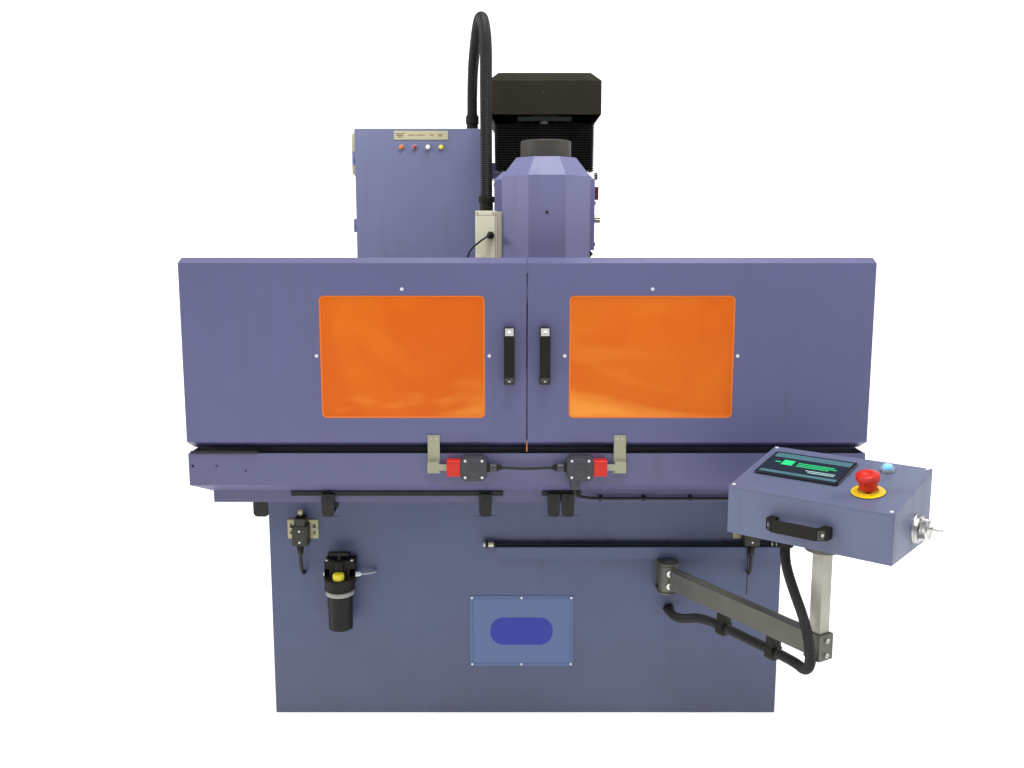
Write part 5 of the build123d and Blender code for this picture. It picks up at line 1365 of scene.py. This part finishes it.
def control_box():
    """The operator's box, with its panel, plain screen graphics, buttons and handle."""
    def case_look(low, high):
        size = high - low
        if size.z > 0.08:
            return pendant_enamel, 1.4 * MM
        if low.z > 0.63:
            return bright_steel, 0.8 * MM
        return (nylon_black, 0.8 * MM) if size.x < 0.05 else (arm_steel, 0.8 * MM)

    def panel_look(low, high):
        if high.x - low.x > 0.2:
            return pendant_enamel, 1 * MM
        return (signal_yellow, 0.6 * MM) if high.x - low.x > 0.04 else (bright_steel, 0.5 * MM)

    dress("pendant_case", pick=case_look)
    dress("pendant_panel", pick=panel_look)
    dress("touch_screen", bezel_black, 1.4 * MM)
    dress("pendant_handle", nylon_black, 2 * MM)
    normal = PANEL.to_3x3() @ UP
    glass_top, print_top, mark_top = 6.15, 6.3, 6.35
    stop_u, stop_v = 284, 80
    lamp_u, lamp_v = 284, 199
    corners = [PANEL @ mm(u, v, 0) for u in (9, 357) for v in (9, 236)]
    screws("panel_screws", "control_box", corners, 4 * MM, 1.6 * MM, white_nylon, normal)

    glass = Build(PANEL)
    glass.box(mm(28, 88, 5.9), mm(211, 201, glass_top))
    glass.piece("screen_glass_pane", screen_glass, "control_box", "screen_plastic")
    header = Build(PANEL)
    header.box(mm(30, 176, glass_top), mm(209, 199, print_top))
    header.box(mm(30, 90, glass_top), mm(209, 102, print_top))
    header.piece("screen_header", screen_slate, "control_box", "screen_plastic")
    marks = Build(PANEL)
    marks.box(mm(62, 138, glass_top), mm(88, 164, mark_top))
    marks.box(mm(44, 148, glass_top), mm(58, 152, mark_top))
    for v, reach in ((154, 84), (146, 92), (138, 76)):
        marks.box(mm(98, v, glass_top), mm(98 + reach, v + 3.4, mark_top))
    marks.piece("screen_marks", screen_green, "control_box", "screen_plastic")
    rows = Build(PANEL)
    for v, start in ((122, 128), (114, 136)):
        rows.box(mm(start, v, glass_top), mm(196, v + 3, mark_top))
    rows.piece("screen_rows", screen_pale, "control_box", "screen_plastic")

    stop = Build(PANEL)
    stop.lathe(mm(stop_u, stop_v, 0), UP, [(0.008, 0), (0.008, 0.0165), (0.0095, 0.0190),
                                           (0.025, 0.0192), (0.028, 0.0212), (0.0298, 0.0240),
                                           (0.032, 0.0249), (0.039, 0.0249), (0.0425, 0.0236),
                                           (0.0448, 0.0195), (0.0458, 0.013), (0.0453, 0.0085),
                                           (0.0445, 0.0070), (0.0441, 0)], sides=64)
    stop = stop.piece("stop_mushroom", signal_red, "estop", slot_of("estop_button"))
    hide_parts("estop_button")
    collar = Build(PANEL)
    collar.lathe(mm(stop_u, stop_v, 1.9), UP, [(0, 0.0085), (0, 0.0350), (0.0006, 0.0350),
                                               (0.0008, 0.0346), (0.0008, 0.0240), (0.0034, 0.0232),
                                               (0.0040, 0.0222), (0.0034, 0.0212), (0.0008, 0.0206),
                                               (0.0008, 0.0085)], sides=64)
    collar.piece("stop_collar", signal_yellow, "control_box", "switch_red")
    lens = Build(PANEL)
    lens.lathe(mm(lamp_u, lamp_v, 3.5), UP, [(0, 0), (0, 0.0114), (0.001, 0.0119), (0.0085, 0.0119),
                                             (0.0105, 0.0105), (0.0118, 0.0075), (0.0124, 0)],
               sides=48)
    lens = lens.piece("push_lens", button_blue, "push_button", slot_of("push_button"))
    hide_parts("push_button")
    bezel = Build(PANEL)
    bezel.lathe(mm(lamp_u, lamp_v, 1.9), UP,
                [(0, 0.0128), (0, 0.0158), (0.002, 0.0158), (0.005, 0.0146), (0.005, 0.0128)],
                sides=48)
    bezel.piece("push_bezel", bright_steel, "control_box", "bright_steel")
    handwheel()
    under = [BOX @ mm(x, y, 0) for x in (-190, 147) for y in (-34, 178)]
    screws("box_under_screws", "control_box", under, 4 * MM, 2 * MM, zinc, facing=DOWN)
    ends = []
    for side in (-1, 1):
        end = BOX @ Matrix.Translation(mm(-32.6 + side * 60, -79, 45.4))
        ends.append(end @ turned(90, "X") @ turned(side * 48, "Y"))
    handle_ends("box", "control_box", (11.5, 10.5), ends)


def handwheel():
    """The electronic handwheel: knurled knob with its crank, and graduated flange."""
    hub = BOX @ Matrix.Translation(mm(161.4, 92, 47)) @ turned(90, "Y")
    knurl = []
    knurl_points = 144
    for i in range(knurl_points):
        a = 2 * math.pi * i / knurl_points
        r = 0.0232 if i % 2 else 0.0224
        knurl.append((r * math.cos(a), r * math.sin(a)))
    knob = Build(hub)
    knob.prism(mm(0, 0, 15), UP, RIGHT, knurl, 11 * MM)
    knob.lathe(mm(0, 0, 12.5), UP, [(0, 0), (0, 0.0205), (0.0025, 0.0218)], sides=48)
    knob.lathe(mm(0, 0, 26), UP,
               [(0, 0.0218), (0.003, 0.0205), (0.004, 0.018), (0.0032, 0.0165), (0.0032, 0)],
               sides=48)
    knob.lathe(mm(0, 15, 29), UP, [(0, 0.0052), (0.001, 0.0052), (0.002, 0.0032), (0.008, 0.003),
                                   (0.009, 0.0044), (0.020, 0.0042), (0.0225, 0.003), (0.023, 0)],
               sides=28)
    knob = knob.piece("handwheel_knob", bright_steel, "dial", slot_of("hand_dial"))
    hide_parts("hand_dial")
    flange = Build(hub)
    flange.lathe(mm(0, 0, 0), UP,
                 [(0, 0.030), (0, 0.0318), (0.003, 0.0318), (0.004, 0.0308), (0.012, 0.0302)],
                 sides=64)
    flange.piece("handwheel_flange", bright_steel, "control_box", "bright_steel")
    ticks = Build(hub)
    graduations, every_long, half_wide = 50, 5, 0.0003
    for i in range(graduations):
        long = 0.0035 if i % every_long else 0.006
        ticks.at = hub @ Matrix.Rotation(2 * math.pi * i / graduations, 4, "Z")
        ticks.box((0.0300 - long, -half_wide, 0.0119), (0.0298, half_wide, 0.0122))
    ticks.piece("handwheel_ticks", bezel_black, "control_box", "bright_steel")


pendant_arm()
control_box()


# ---------------------------------------------------------------- floor and light
SOFTBOXES = (
    # name, place, aim, size, power in watts
    ("key_softbox", (-1.3, -3.3, 4.1), (0, -0.2, 0.8), 0.9, 26),
    ("top_softbox", (0.4, -1.5, 4.4), (0.3, -0.7, 0.8), 1.6, 95),
    ("right_softbox", (4.0, -1.0, 3.4), (0, -0.2, 1.3), 1.6, 90),
    ("left_softbox", (-4.0, -0.7, 3.2), (0, -0.2, 1.3), 1.6, 105),
    ("rear_softbox", (0.5, 3.0, 3.6), (0, 0, 1.2), 2.4, 30),
)


def paper_sweep():
    """A pale seamless floor that curves up into a backdrop."""
    pale = Finish("studio_paper", (0.9, 0.9, 0.9), rough=0.85, Emission_Strength=0.5)
    pale.give("Emission Color", (1.0, 1.0, 1.0))
    pale.give("Roughness", 0.8 + 0.15 * pale.noise(3.0, 4.0))
    near, far, top, half_wide = -9.0, 3.2, 7.0, 12.0
    bend, steps = 1.6, 16
    profile = [(near, 0.0), (far, 0.0)]
    for i in range(1, steps + 1):
        a = math.radians(90 * i / steps)
        profile.append((far + bend * math.sin(a), bend - bend * math.cos(a)))
    profile.append((4.8, top))
    points = [(x, y, z) for y, z in profile for x in (-half_wide, half_wide)]
    faces = [(2 * i, 2 * i + 1, 2 * i + 3, 2 * i + 2) for i in range(len(profile) - 1)]
    mesh = bpy.data.meshes.new("studio_paper")
    mesh.from_pydata(points, [], faces)
    add_piece("studio_paper", mesh, pale)


def studio():
    """The paper, and soft light from both sides, above and behind."""
    paper_sweep()
    for name, place, aim, size, power in SOFTBOXES:
        data = bpy.data.lights.new(name, "AREA")
        data.size = size
        data.energy = power
        light = bpy.data.objects.new(name, data)
        light.location = place
        light.rotation_euler = (Vector(aim) - Vector(place)).to_track_quat("-Z", "Y").to_euler()
        bpy.context.scene.collection.objects.link(light)
    world = bpy.data.worlds.new("studio")
    world.use_nodes = True
    sky = world.node_tree.nodes["Background"].inputs
    sky["Color"].default_value = (0.95, 0.96, 1.0, 1)
    sky["Strength"].default_value = 0.33
    bpy.context.scene.world = world
    bpy.context.scene.view_settings.view_transform = "Standard"


studio()
